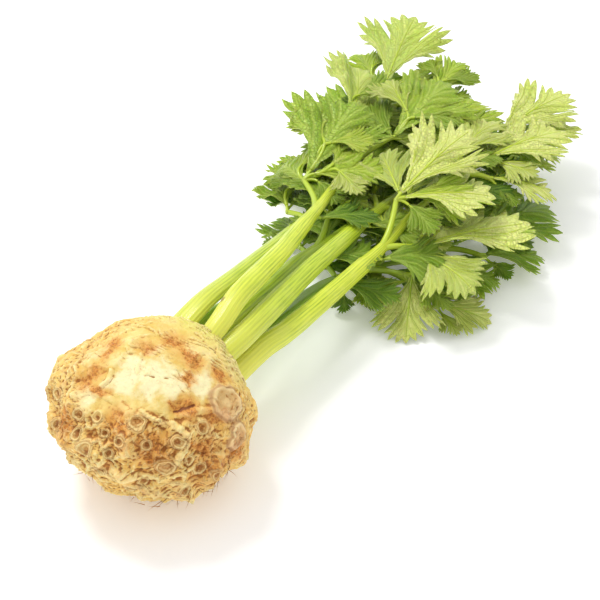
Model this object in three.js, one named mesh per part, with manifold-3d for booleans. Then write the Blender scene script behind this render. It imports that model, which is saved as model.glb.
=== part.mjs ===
// A whole celeriac lying on a table: the knobbly root, the leaf stalks that grow from its crown,
// and the divided leaf (frond) at the end of each stalk.
// Millimetres, +Z up. The origin is the middle of the flat spot under the root, and +Y runs from
// the root to the leaf tips.
import * as THREE from "three";
import { mergeVertices } from "three/addons/utils/BufferGeometryUtils.js";
import Module from "manifold-3d";

const wasm = await Module();
wasm.setup();

// Driving dimensions of the root
const ROOT_CENTRE = [0, 0, 49.5];
const ROOT_RADII = [59, 56.5, 51.5];
const ROOT_FACETS_PER_EDGE = 10; // how finely the root's 20-sided start is divided
const CROWN = { azimuth: 88, elevation: 12, spread: 30, height: 5 };
const KNOB_COUNT = 120;
const KNOB_SEED = 20;

// Driving dimensions of the stalks and leaves
const GAP = 0.35; // the clearance between pieces that touch
const STALK_SIDES = 12;
const RACHIS_SIDES = 8;
const STALK_MIDDLE = { width: 15, thickness: 11.5 };
const RACHIS_START = { width: 11.5, thickness: 9 };
const RACHIS_END = { width: 2.6, thickness: 2.4 };
const STALK_STEP = 20; // the length of stalk between two rings
const RACHIS_STEP = 27;
const STEM_HALF = 1.4; // half the thickness of a leaflet's stem where it leaves its fork
const STEM_INSIDE = 2.5; // how far that stem starts inside the fork
const BRANCH_RADIUS = 2.5;
const BRANCH_BEND = 0.45; // how far a branch follows the rachis before it turns, as a share
const STEM_STEPS = 2;
const STEM_BEND = 0.4;
const BRANCH_SIDES = 4;
const BRANCH_STEPS = 2;
const BLADE_THICKNESS = 0.7;
const BLADE_FORM = { bow: 0.06, fold: 0.12, wave: 0.05, waves: 9 }; // in shares of the length

// Small maths helpers
const radians = THREE.MathUtils.degToRad;
const vec = (p) => new THREE.Vector3(...p);
const mix = THREE.MathUtils.lerp;

function direction(azimuth, elevation) {
  const [a, e] = [radians(azimuth), radians(elevation)];
  return new THREE.Vector3(Math.cos(a) * Math.cos(e), Math.sin(a) * Math.cos(e), Math.sin(e));
}

// A seeded random number from 0 to 1: the same sequence in any language.
function seeded(seed) {
  let state = seed;
  return () => {
    state = (state * 1664525 + 1013904223) % 4294967296;
    return state / 4294967296;
  };
}

// A closed geometry as a solid, and a solid as a geometry
function solidOf(geometry) {
  const bare = new THREE.BufferGeometry()
    .setAttribute("position", geometry.getAttribute("position"))
    .setIndex(geometry.index);
  const merged = mergeVertices(bare, 1e-4);
  const mesh = new wasm.Mesh({
    numProp: 3,
    vertProperties: new Float32Array(merged.attributes.position.array),
    triVerts: new Uint32Array(merged.index.array),
  });
  return new wasm.Manifold(mesh);
}

function geometryOf(solid) {
  const mesh = solid.getMesh();
  const geometry = new THREE.BufferGeometry();
  geometry.setAttribute("position", new THREE.BufferAttribute(mesh.vertProperties, 3));
  geometry.setIndex(new THREE.BufferAttribute(mesh.triVerts, 1));
  geometry.computeVertexNormals();
  return geometry;
}

// The root is a ball whose radius follows a formula of direction: an ellipsoid, a swelling at the
// crown, the large lumps and hollows of this root, small seeded knobs where the side roots grew,
// and facets where a knife trimmed it.
// Large lumps: azimuth, elevation, spread in degrees, and height in mm (below 0 is a hollow).
const LUMPS = [
  [-158, 22, 16, 6],
  [-118, 8, 15, 3],
  [-158, 52, 16, -4],
  [-24, 52, 13, 3],
  [-66, 44, 20, -3],
  [-29, 38, 9, -3.5],
  [-70, 22, 15, 3],
  [-12, 40, 12, -1.5],
  [7, 29, 11, 4],
  [2, 6, 13, 3.5],
  [-40, 12, 16, 3],
  [12, -18, 14, 4],
  [-90, -8, 20, 2],
  [150, 20, 18, 3],
  [120, -10, 20, 2.5],
  [-175, -14, 18, 2],
  [45, 30, 16, -2],
  [100, 55, 15, 2],
];

// Knife facets: azimuth, elevation, and distance of the flat from the root's centre in mm.
const FACETS = [
  [-35, 66, 49.5],
  [-95, 62, 50.5],
  [5, 50, 52],
  [60, 72, 50],
  [170, 60, 52],
  [60, 12, 58.5],
];
const FACET_SOFTNESS = 2.5; // how round a facet's edge is, in mm
const FACET_REACH = 0.2; // the cosine beyond which a facet no longer counts

// The side roots grew on the end away from the crown, so the knobs crowd there. A knob is kept by
// chance: half of them straight across the root, and more the nearer they are to the tail.
const TAIL = direction(-80, -12);
const KNOB_SPREAD = [4.5, 8]; // degrees, from the smallest knob to the largest
const KNOB_HEIGHT = [1.6, 3.6];

function makeKnobs() {
  const random = seeded(KNOB_SEED);
  const knobs = [];
  while (knobs.length < KNOB_COUNT) {
    const at = direction(360 * random(), THREE.MathUtils.radToDeg(Math.asin(2 * random() - 1)));
    const size = random();
    const crowding = random();
    if (crowding < 0.5 + 0.7 * at.dot(TAIL)) {
      knobs.push({ at, spread: radians(mix(...KNOB_SPREAD, size)), height: mix(...KNOB_HEIGHT, size) });
    }
  }
  return knobs;
}

function bump(cosine, spread) {
  const angle = Math.acos(THREE.MathUtils.clamp(cosine, -1, 1));
  return Math.exp(-((angle / spread) ** 2));
}

const KNOBS = makeKnobs();
const LUMP_LIST = LUMPS.map(([azimuth, elevation, spread, height]) => ({
  at: direction(azimuth, elevation),
  spread: radians(spread),
  height,
}));
const FACET_LIST = FACETS.map(([azimuth, elevation, distance]) => ({
  at: direction(azimuth, elevation),
  distance,
}));

function rootRadius(d) {
  const [rx, ry, rz] = ROOT_RADII;
  let radius = 1 / Math.hypot(d.x / rx, d.y / ry, d.z / rz);
  const crown = direction(CROWN.azimuth, CROWN.elevation);
  radius += CROWN.height * bump(d.dot(crown), radians(CROWN.spread));
  for (const lump of [...LUMP_LIST, ...KNOBS]) {
    radius += lump.height * bump(d.dot(lump.at), lump.spread);
  }
  for (const facet of FACET_LIST) {
    const facing = d.dot(facet.at);
    if (facing > FACET_REACH) {
      const flat = facet.distance / facing;
      const over = Math.exp((radius - flat) / FACET_SOFTNESS);
      radius -= FACET_SOFTNESS * Math.log(1 + over);
    }
  }
  return radius;
}

// The ball of triangles, grown by a gap where something else is cut to fit it. What would lie below
// the table is pressed flat onto it, which gives the flat spot that the root rests on.
function makeRootSolid(growth) {
  const ball = mergeVertices(bareSphere(ROOT_FACETS_PER_EDGE), 1e-5);
  const position = ball.attributes.position;
  const d = new THREE.Vector3();
  for (let i = 0; i < position.count; i++) {
    d.fromBufferAttribute(position, i).normalize();
    const radius = rootRadius(d) + growth;
    const z = ROOT_CENTRE[2] + radius * d.z;
    position.setXYZ(i, ROOT_CENTRE[0] + radius * d.x, ROOT_CENTRE[1] + radius * d.y, z < 0 ? 0 : z);
  }
  return solidOf(ball);
}

function bareSphere(detail) {
  const sphere = new THREE.IcosahedronGeometry(1, detail);
  sphere.deleteAttribute("normal");
  sphere.deleteAttribute("uv");
  return sphere;
}

// A tapered bar swept along a curve: section(t) gives the ring of [sideways, outwards] points, and
// facing turns the ring so that its outward side looks away from the middle of the bunch.
function sweep(curve, from, to, steps, section, facing = 90) {
  const positions = [];
  const ringSize = section(from).length;
  for (let i = 0; i <= steps; i++) {
    const t = mix(from, to, i / steps);
    const centre = curve.getPointAt(t);
    const tangent = curve.getTangentAt(t);
    const outward = new THREE.Vector3(Math.cos(radians(facing)), 0, Math.sin(radians(facing)));
    const side = new THREE.Vector3().crossVectors(tangent, outward).normalize();
    const up = new THREE.Vector3().crossVectors(side, tangent);
    for (const [s, u] of section(t)) {
      const p = centre.clone().addScaledVector(side, s).addScaledVector(up, u);
      positions.push(p.x, p.y, p.z);
    }
  }
  const index = [];
  for (let i = 0; i < steps; i++) {
    for (let j = 0; j < ringSize; j++) {
      const [a, b] = [i * ringSize + j, i * ringSize + ((j + 1) % ringSize)];
      index.push(a, b, a + ringSize, b, b + ringSize, a + ringSize);
    }
  }
  const lastRing = steps * ringSize;
  for (let j = 1; j < ringSize - 1; j++) {
    index.push(0, j + 1, j, lastRing, lastRing + j, lastRing + j + 1);
  }
  const bar = new THREE.BufferGeometry();
  bar.setAttribute("position", new THREE.Float32BufferAttribute(positions, 3));
  bar.setIndex(index);
  return facingOut(solidOf(bar), bar);
}

// A sweep that came out inside out has its faces turned round.
function facingOut(solid, geometry) {
  if (solid.volume() > 0) return solid;
  const index = geometry.index.array;
  for (let i = 0; i < index.length; i += 3) {
    [index[i + 1], index[i + 2]] = [index[i + 2], index[i + 1]];
  }
  return solidOf(geometry);
}

// A stalk's section: round outside, and a shallow channel along the inside.
const CHANNEL_DEPTH = 0.22; // a share of the thickness
const INSIDE_HEIGHT = 0.8;

function stalkSection(width, thickness, sides) {
  const ring = [];
  for (let i = 0; i < sides; i++) {
    const angle = (2 * Math.PI * i) / sides;
    const across = Math.cos(angle);
    const outside = Math.sin(angle) >= 0;
    const channel = outside ? 0 : CHANNEL_DEPTH * thickness * (1 - across * across);
    const height = (thickness / 2) * Math.sin(angle) * (outside ? 1 : INSIDE_HEIGHT);
    ring.push([(width / 2) * across, height + channel]);
  }
  return ring;
}

function roundSection(radius, sides) {
  const ring = [];
  for (let i = 0; i < sides; i++) {
    const angle = (2 * Math.PI * i) / sides;
    ring.push([radius * Math.cos(angle), radius * Math.sin(angle)]);
  }
  return ring;
}

// One half of a celery leaflet, in shares of its length: x along the midrib and y sideways.
// The first list runs from the stem to the side lobe's point, and the second on to the tip.
const SIDE_LOBE_OUTER = [
  [0, 0.022],
  [0.14, 0.095],
  [0.3, 0.3],
  [0.37, 0.28],
  [0.48, 0.46],
  [0.53, 0.39],
  [0.68, 0.48],
];
const CENTRE_LOBE = [
  [0.66, 0.37],
  [0.76, 0.34],
  [0.65, 0.21],
  [0.84, 0.26],
  [0.84, 0.17],
  [0.94, 0.14],
  [1, 0],
];
const SIDE_VEIN = [[0.36, 0.18]];
const MIDRIB = [
  [0.66, 0],
  [0.33, 0],
];

// How far a blade stands off its flat plane at (x, y): bowed along it, folded up from the midrib,
// sunk along the side vein and waved at its edge. All in shares of the length.
function bladeHeight(x, y, form) {
  const bow = form.bow * 4 * x * (1 - x);
  const fold = form.fold * Math.abs(y);
  const wave = form.wave * Math.sin(form.waves * x) * Math.abs(y) * 2;
  return bow + fold + wave;
}

// The flat triangles of a whole leaflet as corner points: the two halves, and between them the
// slip that joins both sides of the stem to the midrib.
function bladeTriangles() {
  const triangles = [];
  const add = (region) => {
    for (const corners of THREE.ShapeUtils.triangulateShape(region, [])) {
      const [a, b, c] = corners.map((i) => region[i]);
      const turn = (b.x - a.x) * (c.y - a.y) - (b.y - a.y) * (c.x - a.x);
      triangles.push(turn > 0 ? [a, b, c] : [a, c, b]);
    }
  };
  const [stem, lobeTip] = [SIDE_LOBE_OUTER[0], SIDE_LOBE_OUTER[SIDE_LOBE_OUTER.length - 1]];
  for (const half of [1, -1]) {
    const flip = ([x, y]) => new THREE.Vector2(x, y * half);
    add([...SIDE_LOBE_OUTER, ...SIDE_VEIN].map(flip));
    add([stem, ...SIDE_VEIN, lobeTip, ...CENTRE_LOBE, ...MIDRIB].map(flip));
  }
  const [x, y] = stem;
  const ribEnd = MIDRIB[MIDRIB.length - 1];
  add([[x, y], [x, -y], ribEnd].map((point) => new THREE.Vector2(...point)));
  return triangles;
}

// The edge of a leaflet, from one side of its stem round the tip to the other side.
function bladeOutline() {
  const left = [...SIDE_LOBE_OUTER, ...CENTRE_LOBE];
  const right = left.slice(0, -1).map(([x, y]) => [x, -y]);
  return [...right, ...left.reverse()].map(([x, y]) => new THREE.Vector2(x, y));
}

const BLADE_TRIANGLES = bladeTriangles();
const BLADE_OUTLINE = bladeOutline();

// The local frame of a leaflet that runs from its base to its tip and is rolled about that line.
function leafletFrame(leaflet) {
  const base = vec(leaflet.base);
  const along = vec(leaflet.tip).sub(base);
  const length = along.length();
  along.normalize();
  const side = new THREE.Vector3().crossVectors(new THREE.Vector3(0, 0, 1), along).normalize();
  side.applyAxisAngle(along, radians(leaflet.roll));
  const normal = new THREE.Vector3().crossVectors(along, side);
  return { base, along, side, normal, length };
}

function placeOnBlade(frame, leaflet, x, y, lift) {
  const height = bladeHeight(x, y, leaflet.form) * frame.length + lift;
  return frame.base
    .clone()
    .addScaledVector(frame.along, x * frame.length)
    .addScaledVector(frame.side, y * frame.length * leaflet.breadth)
    .addScaledVector(frame.normal, height);
}

// A leaflet and its stem in one piece: the flat-sided stem leaves the fork, turns into line with the
// midrib and ends in the first edge of the blade.
function makeLeaflet(leaflet, fork) {
  const frame = leafletFrame(leaflet);
  const half = BLADE_THICKNESS / 2;
  const positions = [];
  const pushAll = (...points) => points.forEach((p) => positions.push(p.x, p.y, p.z));
  const at = (point, lift) => placeOnBlade(frame, leaflet, point.x, point.y, lift);
  for (const [a, b, c] of BLADE_TRIANGLES) {
    pushAll(at(a, half), at(b, half), at(c, half));
    pushAll(at(a, -half), at(c, -half), at(b, -half));
  }
  for (let i = 0; i < BLADE_OUTLINE.length - 1; i++) {
    const [here, next] = [BLADE_OUTLINE[i], BLADE_OUTLINE[i + 1]];
    pushAll(at(here, half), at(here, -half), at(next, half));
    pushAll(at(next, half), at(here, -half), at(next, -half));
  }
  const rings = stemRings(frame, fork);
  const [right, left] = [BLADE_OUTLINE[0], BLADE_OUTLINE[BLADE_OUTLINE.length - 1]];
  rings.push([at(right, half), at(left, half), at(left, -half), at(right, -half)]);
  const size = rings[0].length;
  for (let i = 0; i < rings.length - 1; i++) {
    for (let j = 0; j < size; j++) {
      const k = (j + 1) % size;
      pushAll(rings[i][j], rings[i + 1][j], rings[i + 1][k]);
      pushAll(rings[i][j], rings[i + 1][k], rings[i][k]);
    }
  }
  for (let j = 1; j < size - 1; j++) {
    pushAll(rings[0][0], rings[0][j], rings[0][j + 1]);
  }
  const piece = new THREE.BufferGeometry();
  piece.setAttribute("position", new THREE.Float32BufferAttribute(positions, 3));
  return solidOf(mergeVertices(piece, 1e-4));
}

// The four-cornered rings of the stem before the blade: right and left above, then left and right
// below, growing flatter towards the blade.
function stemRings(frame, fork) {
  const start = fork.point.clone().addScaledVector(fork.tangent, -STEM_INSIDE);
  const reach = start.distanceTo(frame.base) * STEM_BEND;
  const bend = new THREE.CubicBezierCurve3(
    start,
    start.clone().addScaledVector(fork.tangent, reach),
    frame.base.clone().addScaledVector(frame.along, -reach),
    frame.base,
  );
  const rings = [];
  for (let i = 0; i < STEM_STEPS; i++) {
    const t = i / STEM_STEPS;
    const centre = bend.getPoint(t);
    const tangent = bend.getTangent(t);
    const side = frame.side.clone().addScaledVector(tangent, -frame.side.dot(tangent)).normalize();
    const up = new THREE.Vector3().crossVectors(tangent, side);
    const height = mix(STEM_HALF, BLADE_THICKNESS / 2, t);
    const corner = (s, u) => {
      const sideways = centre.clone().addScaledVector(side, s * STEM_HALF);
      return sideways.addScaledVector(up, u * height);
    };
    rings.push([corner(-1, 1), corner(1, 1), corner(1, -1), corner(-1, -1)]);
  }
  return rings;
}

// A leaflet of a frond: base and tip points, roll in degrees, and breadth against its length.
function leaflet(base, tip, roll = 0, breadth = 1) {
  return { base, tip, roll, breadth, form: BLADE_FORM };
}

// A branch leaves the rachis at a share of the leaf's route and ends in a fork with leaflets.
function branch(at, to, ...leaflets) {
  return { at, to, leaflets };
}

// The leaves, from the left of the bunch to the right. route runs from the crown along the stalk
// and on along the rachis, and split is the share of it where the divided part begins.
// base is the width and thickness at the crown, and facing is the way the stalk's round side looks,
// in degrees from +X towards +Z.
const LEAVES = [
  {
    name: "1",
    facing: 105,
    base: [20, 12],
    split: 0.5,
    route: [
      [-18, 44, 68], [-17, 72, 74], [-18, 103, 71], [-23, 141, 63], [-28, 178, 55],
      [-39, 225, 43], [-58, 280, 35], [-80, 335, 29],
    ],
    branches: [
      branch(0.56, [-58, 222, 38], leaflet([-61, 226, 40], [-87, 251, 37], -10)),
      branch(0.68, [-74, 260, 34], leaflet([-78, 263, 33], [-102, 294, 27], -12)),
      branch(0.7, [-52, 286, 30], leaflet([-51, 290, 29], [-44, 342, 24], 8, 1.1)),
      branch(0.85, [-92, 314, 30], leaflet([-95, 318, 30], [-126, 356, 25], -10)),
      branch(0.88, [-73, 334, 32], leaflet([-71, 338, 32], [-62, 392, 34], 5, 1.1)),
      branch(1, [-82, 340, 29], leaflet([-82, 342, 29], [-104, 408, 28], 0, 1.05)),
    ],
  },
  {
    name: "2",
    facing: 80,
    base: [14, 12],
    split: 0.42,
    route: [
      [6, 36, 69], [8, 56, 79], [6, 78, 85], [3, 105, 84], [-3, 140, 79], [-13, 178, 72],
      [-26, 226, 62], [-44, 290, 55], [-62, 345, 53], [-77, 384, 56],
    ],
    branches: [
      branch(
        0.45,
        [-53, 236, 60],
        leaflet([-56, 240, 57], [-90, 260, 44], -25, 1.15),
        leaflet([-56, 246, 61], [-92, 320, 69], 30, 0.85),
        leaflet([-53, 245, 64], [-62, 316, 79], 10, 1.15),
        leaflet([-48, 243, 64], [-6, 268, 66], 15, 1),
      ),
      branch(0.7, [-65, 316, 60], leaflet([-67, 320, 60], [-106, 390, 64], 30, 0.9)),
      branch(0.66, [-28, 314, 64], leaflet([-26, 318, 65], [-22, 392, 74], 5, 1.15)),
      branch(0.93, [-92, 390, 52], leaflet([-94, 394, 52], [-124, 424, 50], -10, 1)),
      branch(0.88, [-40, 388, 55], leaflet([-38, 392, 56], [-40, 440, 66], 0, 1)),
      branch(1, [-78, 388, 58], leaflet([-79, 390, 58], [-96, 460, 76], 0, 1.05)),
    ],
  },
  {
    name: "3",
    facing: 80,
    base: [13, 11],
    split: 0.37,
    route: [
      [1, 44, 62], [3, 77, 66], [1, 124, 62], [-3, 163, 57], [-6, 205, 47],
      [-10, 255, 38], [-15, 305, 33], [-23, 352, 32],
    ],
    branches: [
      branch(
        0.4,
        [-21, 222, 53],
        leaflet([-24, 227, 51], [-38, 268, 47], 0, 0.9),
        leaflet([-19, 228, 51], [-10, 254, 54], 30, 0.6),
      ),
      branch(0.68, [-26, 284, 38], leaflet([-29, 288, 39], [-52, 330, 43], 5)),
      branch(0.7, [0, 286, 33], leaflet([1, 290, 31], [4, 334, 28], -5, 0.8)),
      branch(0.86, [-38, 334, 41], leaflet([-40, 338, 42], [-58, 386, 46], 5)),
      branch(0.88, [-4, 340, 34], leaflet([-2, 344, 34], [14, 394, 33], 0)),
      branch(1, [-24, 358, 32], leaflet([-24, 360, 32], [-34, 426, 37], 0, 1.05)),
    ],
  },
  {
    name: "4",
    facing: 65,
    base: [16, 12],
    split: 0.5,
    route: [
      [18, 42, 66], [21, 70, 71], [17, 105, 68], [12, 149, 63], [8, 193, 57], [4, 234, 51],
      [5, 285, 47], [13, 340, 45], [22, 385, 44],
    ],
    branches: [
      branch(0.58, [-8, 262, 49], leaflet([-11, 266, 48], [-24, 306, 45], 5, 0.9)),
      branch(0.6, [20, 268, 41], leaflet([22, 272, 36], [30, 312, 31], -8, 0.8)),
      branch(0.8, [2, 346, 50], leaflet([1, 350, 50], [-10, 406, 57], 0, 1.05)),
      branch(0.83, [34, 364, 46], leaflet([36, 367, 46], [70, 400, 38], -10, 1.1)),
      branch(0.96, [38, 394, 44], leaflet([40, 397, 44], [64, 440, 43], -10, 1)),
      branch(1, [23, 390, 46], leaflet([24, 394, 46], [52, 453, 57], 0, 1)),
    ],
  },
  {
    name: "5",
    facing: 45,
    base: [17, 12],
    split: 0.5,
    route: [
      [22, 42, 48], [25, 78, 53], [27, 100, 51], [29, 149, 50], [30, 195, 50],
      [30, 222, 50], [28, 262, 52], [34, 302, 55], [40, 336, 57],
    ],
    branches: [
      branch(
        0.54,
        [20, 246, 68],
        leaflet([21, 251, 71], [30, 326, 86], 5, 1.1),
        leaflet([25, 250, 69], [74, 288, 66], -12, 1.1),
      ),
      branch(
        0.56,
        [46, 229, 47],
        leaflet([49, 232, 47], [100, 298, 43], -15, 1.1),
        leaflet([46, 234, 48], [44, 262, 59], 50, 0.7),
        leaflet([50, 231, 45], [85, 252, 25], -30, 0.9),
      ),
      branch(0.88, [26, 322, 63], leaflet([26, 326, 63], [24, 378, 64], 0, 1)),
      branch(0.92, [52, 324, 54], leaflet([55, 326, 54], [97, 346, 42], -15, 1.1)),
      branch(1, [41, 340, 58], leaflet([42, 343, 58], [72, 398, 60], -5, 1.15)),
    ],
  },
  {
    name: "6",
    facing: 290,
    base: [14, 11],
    split: 0.48,
    route: [
      [8, 44, 42], [11, 97, 49], [12, 113, 48], [11, 149, 42], [12, 178, 36], [18, 215, 25],
      [37, 258, 17], [54, 300, 15],
    ],
    branches: [
      branch(0.52, [22, 196, 26], leaflet([26, 200, 26], [45, 214, 12], -20, 0.8)),
      branch(0.6, [45, 222, 27], leaflet([49, 224, 26], [69, 186, 1.5], 5, 1.15)),
      branch(0.64, [68, 222, 14], leaflet([72, 222, 12], [106, 236, 3], 5, 1.1)),
      branch(0.67, [4, 250, 20], leaflet([1, 254, 20], [-16, 296, 18], 5, 1.1)),
      branch(0.74, [56, 252, 18], leaflet([60, 254, 18], [97, 270, 8], -5, 0.8)),
      branch(0.88, [70, 284, 16], leaflet([74, 287, 16], [104, 316, 6], -5, 1)),
      branch(0.87, [32, 308, 20], leaflet([31, 312, 20], [26, 366, 20], 5, 1.1)),
      branch(1, [56, 305, 15], leaflet([57, 308, 15], [84, 366, 14], 0, 1.1)),
    ],
  },
  {
    name: "7",
    facing: 220,
    base: [18, 12],
    split: 0.44,
    route: [
      [-16, 45, 48], [-20, 86, 48], [-22, 136, 36], [-22, 190, 20], [-22, 250, 11],
      [-16, 320, 9], [-4, 372, 8],
    ],
    branches: [
      branch(0.48, [-42, 216, 16], leaflet([-45, 220, 15], [-78, 248, 4], -5, 1.1)),
      branch(0.5, [2, 202, 12], leaflet([6, 202, 11], [40, 208, 5], 0, 1.1)),
      branch(0.66, [-42, 278, 13], leaflet([-45, 282, 12], [-80, 320, 5], -5, 1.1)),
      branch(0.82, [-36, 332, 12], leaflet([-38, 336, 12], [-62, 382, 10], -5, 1.1)),
      branch(0.84, [10, 342, 10], leaflet([14, 344, 9], [50, 380, 3], 0, 1.1)),
      branch(1, [-3, 376, 9], leaflet([-2, 380, 9], [16, 438, 8], 0, 1.15)),
    ],
  },
];

// A leaf's stalk grows thinner from its clasping base to the fork, and its rachis on to the tip.
const WAIST = 0.4; // the share of the stalk where its base ends

function leafSection(leaf, t, sides) {
  const waist = WAIST * leaf.split;
  const base = { width: leaf.base[0], thickness: leaf.base[1] };
  const [a, b, share] =
    t < waist
      ? [base, STALK_MIDDLE, t / waist]
      : t < leaf.split
        ? [STALK_MIDDLE, RACHIS_START, (t - waist) / (leaf.split - waist)]
        : [RACHIS_START, RACHIS_END, Math.sqrt((t - leaf.split) / (1 - leaf.split))];
  return stalkSection(mix(a.width, b.width, share), mix(a.thickness, b.thickness, share), sides);
}

function makeStalk(leaf, curve, rootWithGap) {
  const steps = Math.round((curve.getLength() * leaf.split) / STALK_STEP);
  const section = (t) => leafSection(leaf, t, STALK_SIDES);
  const bar = sweep(curve, 0, leaf.split, steps, section, leaf.facing);
  return bar.subtract(rootWithGap);
}

function makeFrond(leaf, curve) {
  const start = leaf.split + GAP / curve.getLength();
  const steps = Math.round((curve.getLength() * (1 - leaf.split)) / RACHIS_STEP);
  const section = (t) => leafSection(leaf, t, RACHIS_SIDES);
  const pieces = [sweep(curve, start, 1, steps, section, leaf.facing)];
  for (const branch of leaf.branches) {
    const root = curve.getPointAt(branch.at);
    const end = vec(branch.to);
    let fork = { point: root, tangent: curve.getTangentAt(branch.at) };
    if (branch.at < 1) {
      const reach = root.distanceTo(end) * BRANCH_BEND;
      const outwards = end.clone().sub(root).normalize();
      const bend = new THREE.QuadraticBezierCurve3(
        root,
        root.clone().addScaledVector(fork.tangent, reach),
        end,
      );
      pieces.push(sweep(bend, 0, 1, BRANCH_STEPS, () => roundSection(BRANCH_RADIUS, BRANCH_SIDES)));
      fork = { point: end, tangent: outwards };
    }
    for (const one of branch.leaflets) {
      pieces.push(makeLeaflet(one, fork));
    }
  }
  return wasm.Manifold.union(pieces);
}

// Colours and finishes of the real thing
const ROOT_SKIN = new THREE.MeshStandardMaterial({ color: 0xdcb877, roughness: 0.8, metalness: 0 });
const STALK_GREEN = new THREE.MeshStandardMaterial({ color: 0xb5cb3f, roughness: 0.45, metalness: 0 });
const LEAF_GREEN = new THREE.MeshStandardMaterial({ color: 0x8aa83f, roughness: 0.6, metalness: 0 });

function addNode(group, name, solid, material) {
  const mesh = new THREE.Mesh(geometryOf(solid), material);
  mesh.name = name;
  group.add(mesh);
}

const celeriac = new THREE.Group();
addNode(celeriac, "root", makeRootSolid(0), ROOT_SKIN);
const rootWithGap = makeRootSolid(GAP);
for (const leaf of LEAVES) {
  const curve = new THREE.CatmullRomCurve3(leaf.route.map(vec), false, "centripetal");
  addNode(celeriac, `stalk_${leaf.name}`, makeStalk(leaf, curve, rootWithGap), STALK_GREEN);
  addNode(celeriac, `frond_${leaf.name}`, makeFrond(leaf, curve), LEAF_GREEN);
}

export default celeriac;
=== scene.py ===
# %% [markdown]
# # A celeriac with its leaves, dressed in Blender
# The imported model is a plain, correct celeriac: a root, seven stalks and seven fronds, as solids.
# This script keeps every one of them in its place and gives each a finer stand-in: skin and root
# stubs for the root, ribs for the stalks, and veined, toothed leaflets for the fronds. Blender works
# in metres. Plants are easier to think about in millimetres, so the points are kept in those and
# turned into metres when a mesh is made.

# %% Load the frame
import math

import bpy
import numpy as np
from mathutils import Matrix, Vector, geometry


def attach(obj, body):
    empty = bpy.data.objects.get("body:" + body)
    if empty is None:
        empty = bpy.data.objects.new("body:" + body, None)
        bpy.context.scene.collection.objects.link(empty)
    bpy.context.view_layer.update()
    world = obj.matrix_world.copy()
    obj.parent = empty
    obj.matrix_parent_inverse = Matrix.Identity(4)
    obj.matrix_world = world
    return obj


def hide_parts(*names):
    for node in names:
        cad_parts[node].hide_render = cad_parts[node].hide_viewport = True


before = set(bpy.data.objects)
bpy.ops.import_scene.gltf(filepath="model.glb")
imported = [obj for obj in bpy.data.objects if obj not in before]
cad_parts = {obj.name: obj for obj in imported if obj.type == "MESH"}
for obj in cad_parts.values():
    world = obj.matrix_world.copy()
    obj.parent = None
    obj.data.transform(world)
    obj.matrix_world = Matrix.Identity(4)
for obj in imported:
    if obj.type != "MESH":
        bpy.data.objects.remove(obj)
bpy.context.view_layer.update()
MM = 0.001

# %% [markdown]
# ## The camera
# The photograph looks down on the plant, from the right of the root. A long lens keeps the root and
# the far leaf tips in proportion. The camera is built from three directions: the one it looks back
# along, the one to its right, and the one up in the picture. They are the columns of its matrix.

# %% The camera
CAMERA_AZIMUTH = math.radians(35)
CAMERA_ELEVATION = math.radians(40)
CAMERA_EYE = Vector((430.8, -459.4, 657.2)) * MM
CAMERA_LENS = 85

back = Vector(
    (
        math.sin(CAMERA_AZIMUTH) * math.cos(CAMERA_ELEVATION),
        -math.cos(CAMERA_AZIMUTH) * math.cos(CAMERA_ELEVATION),
        math.sin(CAMERA_ELEVATION),
    )
)
right = Vector((math.cos(CAMERA_AZIMUTH), math.sin(CAMERA_AZIMUTH), 0))
up = back.cross(right)
camera = bpy.data.objects.new("camera", bpy.data.cameras.new("camera"))
camera.data.lens = CAMERA_LENS
camera.matrix_world = Matrix.Translation(CAMERA_EYE) @ Matrix((right, up, back)).transposed().to_4x4()
bpy.context.scene.collection.objects.link(camera)
bpy.context.scene.camera = camera

# %% [markdown]
# ## The studio
# A white table under a large soft light gives the bright, nearly shadowless look of a shop picture.
# The Standard view transform keeps whites white and greens fresh, where Blender's default would grey
# them. The main light stands to the back left, so the shadow falls to the front right.

# %% The studio
TABLE_HALF = 6.0
TABLE_GLOW = 0.15  # lifts the shadows, as the retouching of a shop picture does


def add_light(name, place, target, size, watts):
    light = bpy.data.lights.new(name, "AREA")
    light.shape = "DISK"
    light.size = size
    light.energy = watts
    lamp = bpy.data.objects.new(name, light)
    lamp.location = place
    lamp.rotation_euler = (Vector(target) - Vector(place)).to_track_quat("-Z", "Y").to_euler()
    bpy.context.scene.collection.objects.link(lamp)


def add_table():
    mesh = bpy.data.meshes.new("table")
    edge = TABLE_HALF
    corners = [(-edge, -edge, 0), (edge, -edge, 0), (edge, edge, 0), (-edge, edge, 0)]
    mesh.from_pydata(corners, [], [(0, 1, 2, 3)])
    table = bpy.data.objects.new("table", mesh)
    bpy.context.scene.collection.objects.link(table)
    finish = bpy.data.materials.new("white table")
    finish.use_nodes = True
    shader = finish.node_tree.nodes["Principled BSDF"]
    shader.inputs["Base Color"].default_value = (1, 1, 1, 1)
    shader.inputs["Roughness"].default_value = 0.6
    shader.inputs["Specular IOR Level"].default_value = 0.2
    shader.inputs["Emission Color"].default_value = (1, 1, 1, 1)
    shader.inputs["Emission Strength"].default_value = TABLE_GLOW
    mesh.materials.append(finish)


add_table()
add_light("key", (-0.72, 0.25, 1.4), (0, 0.15, 0), 0.55, 12.5)
world = bpy.data.worlds.new("studio")
world.use_nodes = True
world.node_tree.nodes["Background"].inputs["Color"].default_value = (1, 1, 1, 1)
world.node_tree.nodes["Background"].inputs["Strength"].default_value = 0.86
bpy.context.scene.world = world
bpy.context.scene.view_settings.view_transform = "Standard"

# %% [markdown]
# ## Shaders as sums
# Node trees are hard to read when each node is placed by hand. A small wrapper holds one output
# socket and lets it be added, multiplied and subtracted, so that a mask reads like a formula. Any
# other node comes from its `node` method.


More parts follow.
